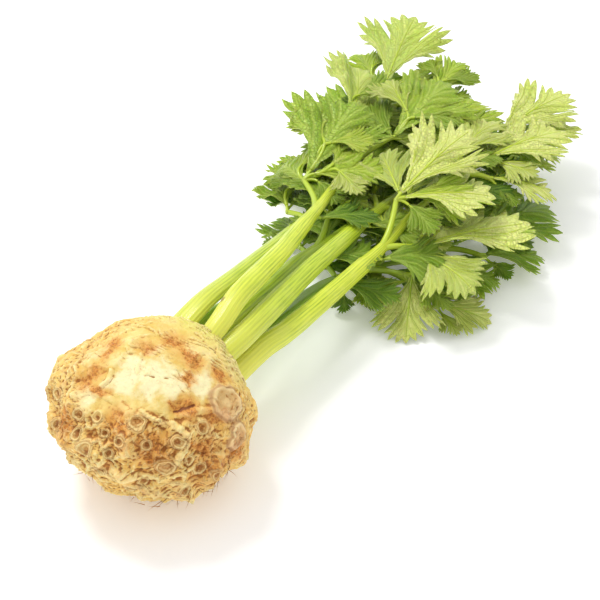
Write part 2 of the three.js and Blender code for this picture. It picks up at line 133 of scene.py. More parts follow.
# %% Wire: a shader socket with arithmetic
class Wire:
    """One output socket of a material's node tree."""

    def __init__(self, tree, socket=None):
        self.tree = tree
        self.socket = socket

    def node(self, kind, sockets=None, output=0, **settings):
        """Adds a node: its settings first, then the values or wires of its sockets."""
        made = self.tree.nodes.new(kind)
        for name, value in settings.items():
            setattr(made, name, value)
        for key, value in (sockets or {}).items():
            if isinstance(value, Wire):
                self.tree.links.new(value.socket, made.inputs[key])
            else:
                made.inputs[key].default_value = value
        return Wire(self.tree, made.outputs[output])

    def math(self, operation, first, second=0.0):
        return self.node("ShaderNodeMath", {0: first, 1: second}, operation=operation)

    def __add__(self, other):
        return self.math("ADD", self, other)

    __radd__ = __add__

    def __mul__(self, other):
        return self.math("MULTIPLY", self, other)

    __rmul__ = __mul__

    def __sub__(self, other):
        return self.math("SUBTRACT", self, other)

    def __rsub__(self, other):
        return self.math("SUBTRACT", other, self)

    def step(self, low, high):
        """0 below low, 1 above high, and a smooth rise between them."""
        sockets = {"Value": self, "From Min": low, "From Max": high}
        return self.node("ShaderNodeMapRange", sockets, interpolation_type="SMOOTHSTEP")

    def mix(self, first, second):
        """A colour between two, by this wire."""
        sockets = {0: self, 6: first, 7: second}
        return self.node("ShaderNodeMix", sockets, 2, data_type="RGBA")

    def attribute(self, name):
        return self.node("ShaderNodeAttribute", output=2, attribute_name=name)

    def place(self):
        return self.node("ShaderNodeTexCoord", output=3)

    def noise(self, scale, detail=4.0, roughness=0.55, stretch=None):
        """Noise on the object's own coordinates, from 0 to 1. stretch scales each axis."""
        where = self.place()
        if stretch:
            where = self.node("ShaderNodeMapping", {"Vector": where, "Scale": stretch})
        sockets = {"Vector": where, "Scale": scale, "Detail": detail, "Roughness": roughness}
        return self.node("ShaderNodeTexNoise", sockets)


def colour(code):
    """A web colour such as e8d59a as linear red, green, blue and alpha."""
    parts = [int(code[i : i + 2], 16) / 255 for i in (0, 2, 4)]
    return (*[p / 12.92 if p <= 0.04045 else ((p + 0.055) / 1.055) ** 2.4 for p in parts], 1)


def new_material(name, roughness, subsurface=0.0, radius=(0.004, 0.002, 0.001)):
    """A material, a wire to start formulas from, and its shader node."""
    material = bpy.data.materials.new(name)
    material.use_nodes = True
    tree = material.node_tree
    shader = tree.nodes["Principled BSDF"]
    shader.inputs["Roughness"].default_value = roughness
    shader.inputs["Subsurface Weight"].default_value = subsurface
    shader.inputs["Subsurface Radius"].default_value = radius
    shader.inputs["Subsurface Scale"].default_value = 1.0
    return material, Wire(tree), shader


# %% [markdown]
# ## Meshes from arrays
# The plant has several hundred thousand faces, which is slow to build one face at a time. numpy works
# out all the points of a piece at once, and one helper turns the arrays into a mesh. It can also store
# a number for each point, as an attribute, and the materials read those numbers.


# %% Helpers for numbers and meshes
def direction(azimuth, elevation):
    a, e = math.radians(azimuth), math.radians(elevation)
    return np.array((math.cos(a) * math.cos(e), math.sin(a) * math.cos(e), math.sin(e)))


def seeded(seed):
    """The same random numbers from 0 to 1 in any language, one for each next()."""
    state = seed
    while True:
        state = (state * 1664525 + 1013904223) % 4294967296
        yield state / 4294967296


def smoothstep(low, high, x):
    t = np.clip((x - low) / (high - low), 0, 1)
    return t * t * (3 - 2 * t)


def unit(v):
    return v / np.linalg.norm(v, axis=-1, keepdims=True)


def lattice_noise(points, size, seed):
    """Smooth noise from -1 to 1 at points, with blobs of about size, both in the same units."""
    cell = np.floor(points / size).astype(np.int64)
    inside = points / size - cell
    fade = inside * inside * (3 - 2 * inside)
    total = np.zeros(len(points))
    for corner in np.ndindex(2, 2, 2):
        c = cell + corner
        key = (c[:, 0] * 73856093) ^ (c[:, 1] * 19349663) ^ (c[:, 2] * 83492791) ^ (seed * 2654435761)
        key = (key ^ (key >> 13)) * 1274126177 & 0xFFFFFFFF
        value = ((key ^ (key >> 16)) & 0xFFFF) / 32767.5 - 1
        weight = np.prod(np.where(corner, fade, 1 - fade), axis=1)
        total += weight * value
    return total


def mesh_object(name, points, faces, material, attributes=None):
    """A smooth shaded object from points in mm and an array of faces with the same corner count."""
    mesh = bpy.data.meshes.new(name)
    mesh.vertices.add(len(points))
    mesh.vertices.foreach_set("co", (np.asarray(points) * MM).astype(np.float32).ravel())
    corners = faces.shape[1]
    mesh.loops.add(faces.size)
    mesh.loops.foreach_set("vertex_index", faces.astype(np.int32).ravel())
    mesh.polygons.add(len(faces))
    mesh.polygons.foreach_set("loop_start", np.arange(0, faces.size, corners, dtype=np.int32))
    mesh.polygons.foreach_set("use_smooth", np.ones(len(faces), bool))
    mesh.update(calc_edges=True)
    for key, values in (attributes or {}).items():
        layer = mesh.attributes.new(key, "FLOAT", "POINT")
        layer.data.foreach_set("value", np.asarray(values, np.float32))
    mesh.validate()
    mesh.materials.append(material)
    made = bpy.data.objects.new(name, mesh)
    bpy.context.scene.collection.objects.link(made)
    return made


def hand_over(piece, slot, *nodes):
    """Rides the one body and stands for the CAD nodes named. The slot is not used."""
    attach(piece, "root")
    if nodes:
        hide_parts(*nodes)


# %% [markdown]
# ## The root's form
# The solid root is a ball whose radius follows a formula of direction: an ellipsoid, the crown's
# swelling, large lumps, seeded knobs, and flats where a knife went over it. The same formula runs
# here on a much finer ball, so the fine root keeps the solid's form. The ball is a cube blown up
# round, because its faces stay nearly the same size all over, with no poles.

# %% The root's main form
ROOT_CENTRE = np.array((0, 0, 49.5))
ROOT_RADII = np.array((59, 56.5, 51.5))
CROWN = direction(88, 12)
CROWN_SPREAD = math.radians(30)
CROWN_HEIGHT = 5
KNOB_COUNT = 120
KNOB_SEED = 20
TAIL = direction(-80, -12)
LUMPS = [
    (-158, 22, 16, 6),
    (-118, 8, 15, 3),
    (-158, 52, 16, -4),
    (-24, 52, 13, 3),
    (-66, 44, 20, -3),
    (-29, 38, 9, -3.5),
    (-70, 22, 15, 3),
    (-12, 40, 12, -1.5),
    (7, 29, 11, 4),
    (2, 6, 13, 3.5),
    (-40, 12, 16, 3),
    (12, -18, 14, 4),
    (-90, -8, 20, 2),
    (150, 20, 18, 3),
    (120, -10, 20, 2.5),
    (-175, -14, 18, 2),
    (45, 30, 16, -2),
    (100, 55, 15, 2),
]
FACETS = [(-35, 66, 49.5), (-95, 62, 50.5), (5, 50, 52), (60, 72, 50), (170, 60, 52), (60, 12, 58.5)]
FACET_SOFTNESS = 2.5
FACET_REACH = 0.2


def make_knobs():
    random = seeded(KNOB_SEED)
    knobs = []
    while len(knobs) < KNOB_COUNT:
        azimuth = 360 * next(random)
        at = direction(azimuth, math.degrees(math.asin(2 * next(random) - 1)))
        size = next(random)
        if next(random) < 0.5 + 0.7 * at @ TAIL:
            knobs.append((at, math.radians(4.5 + 3.5 * size), 1.6 + 2 * size))
    return knobs


def main_radius(d):
    """The radius of the solid root in each direction of d, in mm."""
    radius = 1 / np.linalg.norm(d / ROOT_RADII, axis=1)
    bumps = [(CROWN, CROWN_SPREAD, CROWN_HEIGHT), *make_knobs()]
    bumps += [(direction(a, e), math.radians(s), h) for a, e, s, h in LUMPS]
    for at, spread, height in bumps:
        angle = np.arccos(np.clip(d @ at, -1, 1))
        radius += height * np.exp(-((angle / spread) ** 2))
    for azimuth, elevation, distance in FACETS:
        facing = d @ direction(azimuth, elevation)
        flat = distance / np.maximum(facing, FACET_REACH)
        cut = FACET_SOFTNESS * np.log1p(np.exp((radius - flat) / FACET_SOFTNESS))
        radius -= np.where(facing > FACET_REACH, cut, 0)
    return radius


def blown_cube(n):
    """Directions and four-cornered faces of a cube with n faces along an edge, blown up to a ball."""
    s = np.tan(np.linspace(-1, 1, n + 1) * math.pi / 4)
    a, b = np.meshgrid(s, s, indexing="ij")
    one = np.ones_like(a)
    sides = [(one, a, b), (-one, b, a), (b, one, a), (a, -one, b), (a, b, one), (b, a, -one)]
    points = unit(np.concatenate([np.stack(side, -1).reshape(-1, 3) for side in sides]))
    at = np.arange((n + 1) ** 2).reshape(n + 1, n + 1)
    grid = np.stack([at[:-1, :-1], at[1:, :-1], at[1:, 1:], at[:-1, 1:]], -1).reshape(-1, 4)
    faces = np.concatenate([grid + k * (n + 1) ** 2 for k in range(6)])
    _, first, same = np.unique(np.round(points, 6), axis=0, return_index=True, return_inverse=True)
    return points[first], same.ravel()[faces]


# %% [markdown]
# ## The root's skin
# Three things make celeriac skin. The top was pared with a knife, so it is smooth, cream flesh with
# tan patches where the knife went less deep. Below the paring the side roots were cut off close
# together. Each cut end is a pit with a raised pale rim, and the rims run into each other like the
# walls of a comb. Brown earth stays in the pits and clefts. All of it is height added to the ball,
# because a height can't leave a hole in the mesh. In the colour the pits and clefts also get painted
# shade. The comb comes from seeded points: a wall stands wherever the nearest two of them are equally
# far away.

# %% Zones, strands and cut roots
SKIN_RADIUS = 56  # mm, to turn an angle into a distance on the skin
PARED = direction(-38, 72)
PARED_SPREAD = (42, 62)  # degrees from its middle: all pared, and not pared
TAIL_MIDDLE = direction(-58, -20)
TAIL_SPREAD = (54, 66)
PLAIN_TAIL = 0.3  # how much of the tail's relief the back and the sides have
CROWN_MIDDLE = direction(88, 24)
CROWN_REACH = (40, 60)
GREEN_REACH = (20, 42)  # degrees from the crown's middle: yellow-green, and not
# Patches of the pared top: azimuth, elevation, and reach in mm.
PALE_PATCHES = [(-82, 69, 9), (-30, 67, 9), (-26, 55, 8), (4, 44, 8), (-26, 83, 6), (-92, 58, 8)]
PALE_PATCHES += [(-50, 58, 7), (-151, 46, 7), (-112, 33, 7)]
TAN_PATCHES = [(-164, 62, 7), (-146, 61, 6), (-124, 51, 6), (-119, 42, 6), (-102, 45, 5), (57, 72, 8)]
TAN_PATCHES += [(21, 58, 7), (-3, 53, 5), (26, 38, 6), (-27, 39, 5), (-52, 87, 6), (-20, 38, 6)]
TAN_PATCHES += [(30, 66, 5), (-73, 31, 8), (-50, 20, 9), (-19, 10, 8), (-6, 24, 7), (-112, 14, 8)]
TAN_PATCHES += [(1, -5, 9), (-17, -5, 9)]
# Knife nicks: both ends, half the width and the depth in mm.
NICKS = [
    ([(-55, 64), (-43, 64)], 0.9, 0.8),
    ([(-27, 61), (-23, 60)], 0.7, 0.5),
    ([(47, 42), (55, 38)], 0.9, 0.9),
    ([(-30, 38), (-12, 36)], 1.1, 1.2),
    ([(-150, 52), (-138, 58)], 0.9, 0.9),
    ([(30, 52), (40, 50)], 0.8, 0.6),
    ([(20, 36), (34, 28)], 1.0, 0.9),
    ([(50, 46), (50, 39)], 1.0, 1.0),
    ([(65, 24), (59, 18)], 1.1, 1.0),
    ([(49, 13), (41, 5)], 1.1, 1.0),
    ([(96, 42), (75, 38), (57, 33)], 0.6, 0.6),
    ([(113, 47), (70, 55), (46, 46)], 0.6, 0.5),
]
# Pale root strands: directions along each, its radius and its height in mm.
STRANDS = [
    ([(-94, 82), (-79, 74), (-71, 66)], 1.4, 0.9),
    ([(-109, 59), (-104, 51), (-106, 44), (-119, 32)], 1.9, 1.6),
    ([(-119, 32), (-96, 43), (-79, 44), (-69, 40)], 2.0, 1.3),
    ([(-67, 39), (-55, 41), (-43, 34), (-35, 31), (-27, 25), (-30, 19), (-37, 13), (-45, 7)], 2.2, 2.3),
    ([(65, 22), (56, 16), (46, 9)], 1.8, 1.5),
    ([(-14, 28), (-12, 19), (-8, 8), (-6, 1)], 2.2, 2.0),
    ([(-101, -2), (-81, 0), (-63, -6), (-44, -13), (-19, -16)], 2.4, 2.0),
    ([(-74, 4), (-59, 1), (-46, -1), (-29, 2)], 2.0, 1.8),
    ([(-26, 35), (-14, 33), (-3, 29)], 2.2, 1.6),
    ([(-29, 23), (-35, 16), (-42, 7)], 3.0, 2.4),
    ([(-15, 21), (-14, 13), (-11, 2)], 2.2, 2.0),
    ([(-79, 8), (-62, 3), (-43, -4), (-20, -11)], 2.6, 2.2),
    ([(-92, 4), (-77, -6), (-52, -13), (-21, -25)], 2.8, 2.2),
    ([(-164, 23), (-153, 15), (-135, 12)], 1.6, 1.0),
    ([(-146, 35), (-132, 28), (-121, 19)], 1.5, 1.0),
    ([(-147, 41), (-133, 38), (-123, 29)], 1.4, 0.9),
    ([(-156, 54), (-139, 50), (-126, 45)], 1.5, 0.9),
    ([(104, 39), (84, 32), (59, 29), (46, 19)], 1.2, 0.8),
    ([(89, 43), (65, 39), (49, 28), (35, 18)], 1.1, 0.8),
    ([(-164, 71), (146, 78), (90, 70)], 1.3, 0.6),
    ([(-165, 57), (166, 60), (124, 62)], 1.2, 0.6),
]
# Cut roots: azimuth, elevation, radius in mm, and how deep the middle lies.
CUTS = [
    (9, 26, 10.5, 0.5),
    (3, 6, 7.5, 0.8),
    (-60, 35, 4.8, 1.6),
    (-70, 24, 3.8, 1.6),
    (-91, 12, 4.6, 1.4),
    (-16, 24, 4.2, 1.5),
    (-33, 22, 4.0, 1.5),
    (-44, 7, 4.8, 1.5),
    (-104, 26, 3.8, 1.5),
    (-91, 31, 3.8, 1.5),
    (-120, 10, 4.0, 1.5),
    (-99, 17, 3.4, 1.4),
    (-24, -2, 4.0, 1.5),
    (-81, 1, 3.6, 1.4),
    (150, 4, 4.2, 1.4),
    (112, -14, 3.8, 1.4),
    (-165, -6, 4.0, 1.4),
    (-140, 14, 3.8, 1.4),
    (36, -8, 3.8, 1.4),
    (-75, 14, 3.2, 1.4),
    (-53, 21, 3.0, 1.4),
    (-29, 8, 3.3, 1.4),
    (-15, -7, 3.2, 1.4),
    (-57, -3, 3.0, 1.3),
    (-35, -12, 3.4, 1.4),
    (-106, 1, 3.4, 1.4),
    (-82, 24, 2.8, 1.3),
    (-130, 22, 3.0, 1.3),
    (-66, -14, 3.6, 1.4),
]
BIG_CUT = 5  # mm, a cut end with a larger radius is pinkish
LEDGE_STEP = 4.2  # degrees between two leaf scars of the crown
COMB_SEED = 7
COMB_SPACING = 8.2  # mm between the points of the comb, at least
COMB_TRIES = 2600
COMB_WALL = 1.3  # mm, half the width of a wall
COMB_HEIGHT = 1.5
COMB_PIT = 1.9


def angle_from(d, at):
    return np.degrees(np.arccos(np.clip(d @ at, -1, 1)))


def patches(d, spots, size=1.0):
    """1 in the middle of the spots, falling away at their reach times size."""
    cover = np.zeros(len(d))
    for azimuth, elevation, reach in spots:
        away = np.linalg.norm(d - direction(azimuth, elevation), axis=1) * SKIN_RADIUS / (reach * size)
        cover = np.maximum(cover, np.exp(-(away**2)))
    return cover


def skin_zones(d):
    """How far each direction is tail, pared top and crown, each from 0 to 1."""
    ragged = 6 * lattice_noise(d, 0.22, 3) + 3 * lattice_noise(d, 0.08, 4)
    tail = 1 - smoothstep(*TAIL_SPREAD, angle_from(d, TAIL_MIDDLE) + ragged)
    pared = (1 - smoothstep(*PARED_SPREAD, angle_from(d, PARED) + ragged)) * (1 - tail)
    crown = 1 - smoothstep(*CROWN_REACH, angle_from(d, CROWN_MIDDLE) + ragged)
    return tail, pared, crown * (1 - pared) * (1 - tail)


def warped(d, size, amount, seed):
    """Directions moved about by noise, so that a regular pattern on them turns ragged."""
    shift = [lattice_noise(d, size, seed + k) for k in range(3)]
    return unit(d + amount * np.stack(shift, 1))


def comb(d):
    """Wall and pit of the comb of cut roots, each from 0 to 1."""
    random = seeded(COMB_SEED)
    spots, keep = [], []
    for _ in range(COMB_TRIES):
        azimuth, elevation = 360 * next(random), math.degrees(math.asin(2 * next(random) - 1))
        spot, depth = direction(azimuth, elevation), next(random)
        gaps = [np.linalg.norm(spot - other) * SKIN_RADIUS for other in spots]
        if not gaps or min(gaps) > COMB_SPACING * (0.7 + 0.6 * depth):
            spots.append(spot)
            keep.append(depth)
    spots, keep = np.array(spots), np.array(keep)
    where = warped(warped(d, 0.14, 0.07, 41), 0.045, 0.022, 45)
    away = np.full((len(d), 2), 99.0)
    nearest = np.zeros(len(d), int)
    for number, spot in enumerate(spots):
        far = np.linalg.norm(where - spot, axis=1) * SKIN_RADIUS
        closer = far < away[:, 0]
        away[:, 1] = np.where(closer, away[:, 0], np.minimum(away[:, 1], far))
        away[:, 0] = np.where(closer, far, away[:, 0])
        nearest[closer] = number
    wall = np.exp(-(((away[:, 1] - away[:, 0]) / (2 * COMB_WALL)) ** 2))
    wall *= np.clip(0.75 + 0.9 * lattice_noise(d, 0.17, 43), 0.1, 1.3)
    pit = (1 - smoothstep(0.8, 4.2, away[:, 0])) * smoothstep(0.4, 0.65, keep[nearest])
    return wall, pit, keep[nearest]


def line_heights(d, lines):
    """Round ridges along lines of directions, worn down here and there."""
    height = np.zeros(len(d))
    where = warped(warped(d, 0.2, 0.03, 51), 0.07, 0.016, 55)
    worn = 0.75 + 0.6 * lattice_noise(d, 0.12, 59)
    for corners, radius, rise in lines:
        path = np.array([direction(*corner) for corner in corners])
        away = np.full(len(d), 9.0)
        for a, b in zip(path[:-1], path[1:]):
            along = b - a
            t = np.clip(((where - a) @ along) / (along @ along), 0, 1)
            away = np.minimum(away, np.linalg.norm(where - a - t[:, None] * along, axis=1))
        ridge = np.clip(1 - (away * SKIN_RADIUS / radius) ** 2, 0, 1) ** 0.7
        height = np.maximum(height, rise * ridge * np.clip(worn, 0, 1.2))
    return height


def cut_heights(d):
    """Height and cover of the cut roots, where on each a point lies, 0 middle and 1 rim, and big ones."""
    height, cover, rings, big = (np.zeros(len(d)) for _ in range(4))
    where = warped(warped(d, 0.13, 0.03, 61), 0.045, 0.012, 65)
    for azimuth, elevation, radius, depth in CUTS:
        rho = np.linalg.norm(where - direction(azimuth, elevation), axis=1) * SKIN_RADIUS / radius
        rim = np.exp(-(((rho - 0.84) / 0.17) ** 2))
        inner = np.exp(-(((rho - 0.5) / 0.1) ** 2)) * min(1, radius / 9)
        pit = 1 - smoothstep(0.2, 0.75, rho)
        here = 1 - smoothstep(1.0, 1.25, rho)
        height = np.where(here > cover, here * (1.1 * rim + 0.35 * inner - depth * pit + 0.7), height)
        rings = np.where(here > cover, rho, rings)
        cover = np.maximum(cover, here)
        if radius > BIG_CUT:
            big = np.maximum(big, here)
    return height, cover, rings, big


# %% [markdown]
# The clefts are painted dark, with brown earth and painted shade, so each point also gets a number
# for how deep it lies against the skin around it. The same number makes the parts that stand proud
# paler, partly as a painted highlight. That is the difference between its radius and the radius
# averaged over its neighbours many times, as a blur does in a picture. Sums over the mesh's edges do
# the blur. A few rounds of it find the cracks, more find the clefts, and many find the hollows.

# %% Make the root
ROOT_GRID = 128


def blurred(values, faces, rounds):
    edges = np.concatenate([faces[:, (0, 1)], faces[:, (1, 2)]])
    edges = np.concatenate([edges, edges[:, ::-1]])
    count = np.bincount(edges[:, 0], minlength=len(values))
    for _ in range(rounds):
        total = np.bincount(edges[:, 0], values[edges[:, 1]], minlength=len(values))
        values = 0.5 * values + 0.5 * total / count
    return values


def root_surface(d):
    """Points in mm and the numbers that the skin's material reads."""
    tail, pared, crown = skin_zones(d)
    wall, pit, own = comb(d)
    where = warped(warped(d, 0.16, 0.07, 81), 0.05, 0.03, 85)
    cut, covered, rings, big = cut_heights(d)
    covered = np.maximum(covered * (1 - pared), big)
    plain = (1 - pared) * (1 - crown) * (1 - tail)
    rough_side = (tail + PLAIN_TAIL * plain) * (1 - covered)
    radius = main_radius(d) - 0.8 * tail
    radius += rough_side * (COMB_HEIGHT * wall - COMB_PIT * pit + 1.6 * (own - 0.5))
    radius += cut * covered
    strands = line_heights(d, STRANDS)
    nicks = line_heights(d, NICKS)
    radius += strands * (1 - 0.7 * covered) - nicks
    # Thin leaf scars run round the crown as broken ledges.
    ledge = angle_from(d, CROWN_MIDDLE) + 3.4 * lattice_noise(d, 0.16, 21)
    ledge = ledge + 1.2 * lattice_noise(d, 0.06, 23)
    saw = np.mod(ledge, LEDGE_STEP) / LEDGE_STEP
    broken = smoothstep(-0.2, 0.35, lattice_noise(d, 0.13, 22))
    ringed = np.maximum(np.maximum(crown, 0.35 * plain), 0.8 * pared * (1 - smoothstep(68, 92, ledge)))
    radius += ringed * broken * 1.5 * (saw**2 - 0.3)
    # Torn fibres: thin ridges, longer round the root than up it.
    stretched = warped(d, 0.12, 0.05, 71) * (1, 1, 2.2)
    fibre = 1 - np.abs(lattice_noise(stretched, 0.085, 75)) * 2
    thin = 1 - np.abs(lattice_noise(stretched, 0.04, 76)) * 2
    radius += (rough_side + 0.6 * plain) * (0.8 * fibre + 0.4 * thin)
    # The knife left soft steps between its cuts.
    slices = 1 - np.abs(lattice_noise(d * (1, 1, 0.6), 0.34, 77)) * 5
    radius += pared * 0.7 * np.maximum(slices, 0) ** 2
    pitted = patches(where, TAN_PATCHES) * (1 - tail)
    radius -= pitted * (0.5 + 1.1 * np.abs(lattice_noise(d, 0.03, 83)) + 0.8 * lattice_noise(d, 0.055, 84))
    rough = lattice_noise(d, 0.2, 31) * 0.9 + lattice_noise(d, 0.075, 32) * 0.5
    fine = lattice_noise(d, 0.033, 33) * 0.34 + lattice_noise(d, 0.018, 34) * 0.22
    radius += rough * (1 - 0.4 * pared) + fine * (1 - 0.65 * pared)
    points = ROOT_CENTRE + d * radius[:, None]
    points[:, 2] = np.maximum(points[:, 2], 0)
    near_crown = angle_from(d, CROWN_MIDDLE)
    numbers = {
        "pared": pared,
        "crown": crown,
        "green": 1 - smoothstep(*GREEN_REACH, near_crown + 4 * lattice_noise(d, 0.1, 24)),
        "cut": covered,
        "rings": rings,
        "big": big,
        "ledge": saw * broken * ringed,
        "strand": np.minimum(strands, 1),
        "pale": patches(where, PALE_PATCHES, 1.15),
        "tan": patches(where, TAN_PATCHES, 1.35),
        "nick": np.minimum(nicks, 1),
    }
    return points, radius, numbers


root_directions, root_faces = blown_cube(ROOT_GRID)
root_points, root_radius, root_numbers = root_surface(root_directions)
root_numbers["cleft"] = np.clip(blurred(root_radius, root_faces, 14) - root_radius, -2, 2)
root_numbers["crack_and_shade"] = np.clip(blurred(root_radius, root_faces, 4) - root_radius, -1, 1)
root_numbers["hollow"] = np.clip(blurred(root_radius, root_faces, 90) - root_radius, -4, 4)
print("root:", len(root_points), "points,", 2 * len(root_faces), "triangles")

# %% [markdown]
# ## The skin's finish
# The colour is layered: cream flesh where the knife went, tan skin over the rest, orange patches where
# the paring was thin, brown earth in the clefts with painted shade over it, a darker orange as painted
# shade in the broad hollows, pale rims where they stand proud, lightened further as a painted highlight,
# and rings on the cut roots. The large cut ends are pinkish, as cut flesh turns in the air. Near the
# stalks the skin is yellow-green. Dark lines in the finest creases of the mesh are partly painted shade.
# Last come wrinkles and hairline cracks, which are too fine for the mesh, so they are noise in the
# colour and the bump.

# %% The skin's material
root_skin, start, shader = new_material("celeriac skin", 0.62, 0.1, (0.004, 0.002, 0.001))
broad = start.noise(28, 5, 0.6)
patchy = start.noise(75, 6, 0.65)
grainy = start.noise(330, 5, 0.65)
speckle = start.noise(900, 3, 0.6)
pared = start.attribute("pared")
crown = start.attribute("crown")
cleft = start.attribute("cleft")
hollow = start.attribute("hollow")
rings = start.attribute("rings")
flesh = patchy.step(0.35, 0.65).mix(colour("e2bf5e"), colour("efd684"))
pale = (start.attribute("pale") + (patchy - 0.5) * 1.9 + (broad - 0.5) * 0.9).step(0.1, 0.8)
flesh = pale.mix(flesh, colour("f8ecb6"))
skin = patchy.step(0.35, 0.65).mix(colour("e8b452"), colour("f9db82"))
base = pared.mix(skin, flesh)
base = crown.mix(base, patchy.step(0.35, 0.65).mix(colour("dcc768"), colour("efe094")))
base = (start.attribute("green") * 0.55).mix(base, colour("dcdc62"))
# Pale rims and painted highlight: whatever stands proud of the skin around it is lightened.
rim_and_highlight = ((0 - cleft) + (grainy - 0.5) * 0.9).step(0.05, 0.6)
base = (rim_and_highlight * 0.8).mix(base, colour("ffe9a2"))
base = (start.attribute("strand") * 0.35).mix(base, colour("fbe9a4"))
tan = start.attribute("tan")
base = (tan.step(0.05, 0.8) * 0.75).mix(base, colour("dfa046"))
rust = (tan * 0.9 + (patchy - 0.5) * 1.6 + (grainy - 0.5) * 1.8).step(0.42, 0.95)
base = (rust * 0.85).mix(base, speckle.step(0.4, 0.6).mix(colour("a8580f"), colour("dc9436")))
# Painted shade: the broad hollows are darkened towards orange.
deep = (hollow + (patchy - 0.5) * 1.6).step(0.4, 2.1)
base = (deep * 0.4).mix(base, colour("cc8029"))
# Wrinkles below the paring: pale threads of skin, and browner hollows between them.
rugged = (1 - pared) * (1 - crown * 0.8)
wrinkle = start.noise(120, 3, 0.55) - 0.5
wrinkle = wrinkle.math("ABSOLUTE", wrinkle).step(0.045, 0.005)
base = (patchy.step(0.48, 0.7) * rugged * 0.55).mix(base, colour("d68326"))
base = (wrinkle * rugged * 0.35).mix(base, colour("ffe7a0"))
# Brown earth and painted shade: the clefts are darkened.
earth_and_shade = (cleft + (grainy - 0.5) * 1.2).step(0.08, 0.6)
base = (earth_and_shade * 0.75).mix(base, patchy.step(0.4, 0.6).mix(colour("b46c1a"), colour("dc9638")))
# Dark lines in the finest creases: dirt in the cracks and painted shade.
crack_and_shade = (start.attribute("crack_and_shade") + (grainy - 0.5) * 0.25).step(0.06, 0.26)
base = (crack_and_shade * (0.7 - pared * 0.35 - crown * 0.4)).mix(base, colour("96561a"))
ring_tone = (rings * 19.0 + grainy * 6.0).math("SINE", rings * 19.0 + grainy * 6.0)
ringed = ring_tone.step(-0.4, 1.0).mix(colour("ecd08e"), colour("be8a44"))
core = rings.step(0.62, 0.25)
ringed = (core * 0.7).mix(ringed, colour("9a5418"))
big = start.attribute("big")
pink = (rings * 7.0 + patchy * 9.0).math("SINE", rings * 7.0 + patchy * 9.0).step(-0.8, 0.9)
pink = pink.mix(colour("e3bf90"), colour("c1946a"))
ringed = big.mix(ringed, (rings.step(0.72, 0.84) * rings.step(1.0, 0.88) * 0.4).mix(pink, colour("efd9a8")))
base = (start.attribute("cut") * (0.7 - earth_and_shade * 0.5 - big * 0.12)).mix(base, ringed)
outline = big * rings.step(0.88, 1.0) * rings.step(1.16, 1.04)
base = (outline * 0.6).mix(base, colour("a5703c"))
line = start.attribute("ledge").step(0.55, 0.9) * grainy.step(0.4, 0.55)
base = (line * 0.5).mix(base, colour("96622a"))
base = (speckle.step(0.64, 0.72) * grainy.step(0.45, 0.6) * 0.6).mix(base, colour("824816"))
base = (start.attribute("nick").step(0.4, 0.8) * 0.85).mix(base, colour("7e4010"))
# Hairline cracks: where a stretched noise passes its middle value.
crease = start.noise(46, 3, 0.6, (1, 1, 1.8)) - 0.5
crease = crease.math("ABSOLUTE", crease).step(0.03, 0.0) * grainy.step(0.42, 0.58)
crease = crease * (1 - pared * 0.75)
base = (crease * 0.55).mix(base, colour("b07026"))
start.tree.links.new(base.socket, shader.inputs["Base Color"])
height = grainy * 0.6 + speckle * 0.25 + patchy * 0.8 - crease * 0.4 + wrinkle * rugged * 0.5
bump = start.node("ShaderNodeBump", {"Height": height, "Strength": 0.9, "Distance": 0.001})
start.tree.links.new(bump.socket, shader.inputs["Normal"])
root_piece = mesh_object("root_skin", root_points, root_faces, root_skin, root_numbers)
hand_over(root_piece, "root_skin", "root")

# %% [markdown]
# ## Hair roots
# Fine hairs are left round the underside. They are all alike and follow the skin, which is what
# Geometry Nodes are for: points are scattered over the skin where an attribute allows them, and a
# thin bent tube stands on each, turned and sized at random with a fixed seed. Realize Instances makes
# them real faces, and the result is kept as a plain mesh.


# %% A Geometry Nodes helper, and the hair roots
def apply_tree(source, tree, values):
    """Runs a node tree on a source object with the named inputs, and returns the plain mesh."""
    modifier = source.modifiers.new("tree", "NODES")
    modifier.node_group = tree
    for item in tree.interface.items_tree:
        if item.item_type == "SOCKET" and item.in_out == "INPUT" and item.name in values:
            modifier[item.identifier] = values[item.name]
    seen = source.evaluated_get(bpy.context.evaluated_depsgraph_get())
    mesh = bpy.data.meshes.new_from_object(seen)
    source.modifiers.remove(modifier)
    return mesh


class Graph:
    """A Geometry Nodes tree under construction, with its named inputs and one output."""

    def __init__(self, name, numbers):
        self.tree = bpy.data.node_groups.new(name, "GeometryNodeTree")
        face = self.tree.interface
        face.new_socket("Geometry", in_out="INPUT", socket_type="NodeSocketGeometry")
        for label, kind in numbers.items():
            face.new_socket(label, in_out="INPUT", socket_type=kind)
        face.new_socket("Geometry", in_out="OUTPUT", socket_type="NodeSocketGeometry")
        self.inputs = self.tree.nodes.new("NodeGroupInput")
        self.output = self.tree.nodes.new("NodeGroupOutput")

    def given(self, label):
        return self.inputs.outputs[label]

    def add(self, kind, sockets, **settings):
        made = self.tree.nodes.new(kind)
        for name, value in settings.items():
            setattr(made, name, value)
        for key, value in sockets.items():
            if isinstance(value, bpy.types.NodeSocket):
                self.tree.links.new(value, made.inputs[key])
            else:
                made.inputs[key].default_value = value
        return made.outputs

    def finish(self, geometry, material):
        real = self.add("GeometryNodeRealizeInstances", {0: geometry})[0]
        painted = self.add("GeometryNodeSetMaterial", {0: real, "Material": material})[0]
        self.tree.links.new(painted, self.output.inputs[0])
        return self.tree


HAIR_LENGTH = 7.0  # mm
HAIR_RADIUS = 0.3
HAIR_SEED = 5
HAIRS_PER_SQUARE_CM = 2.2
SQUARE_CM_IN_SQUARE_METRE = 10000


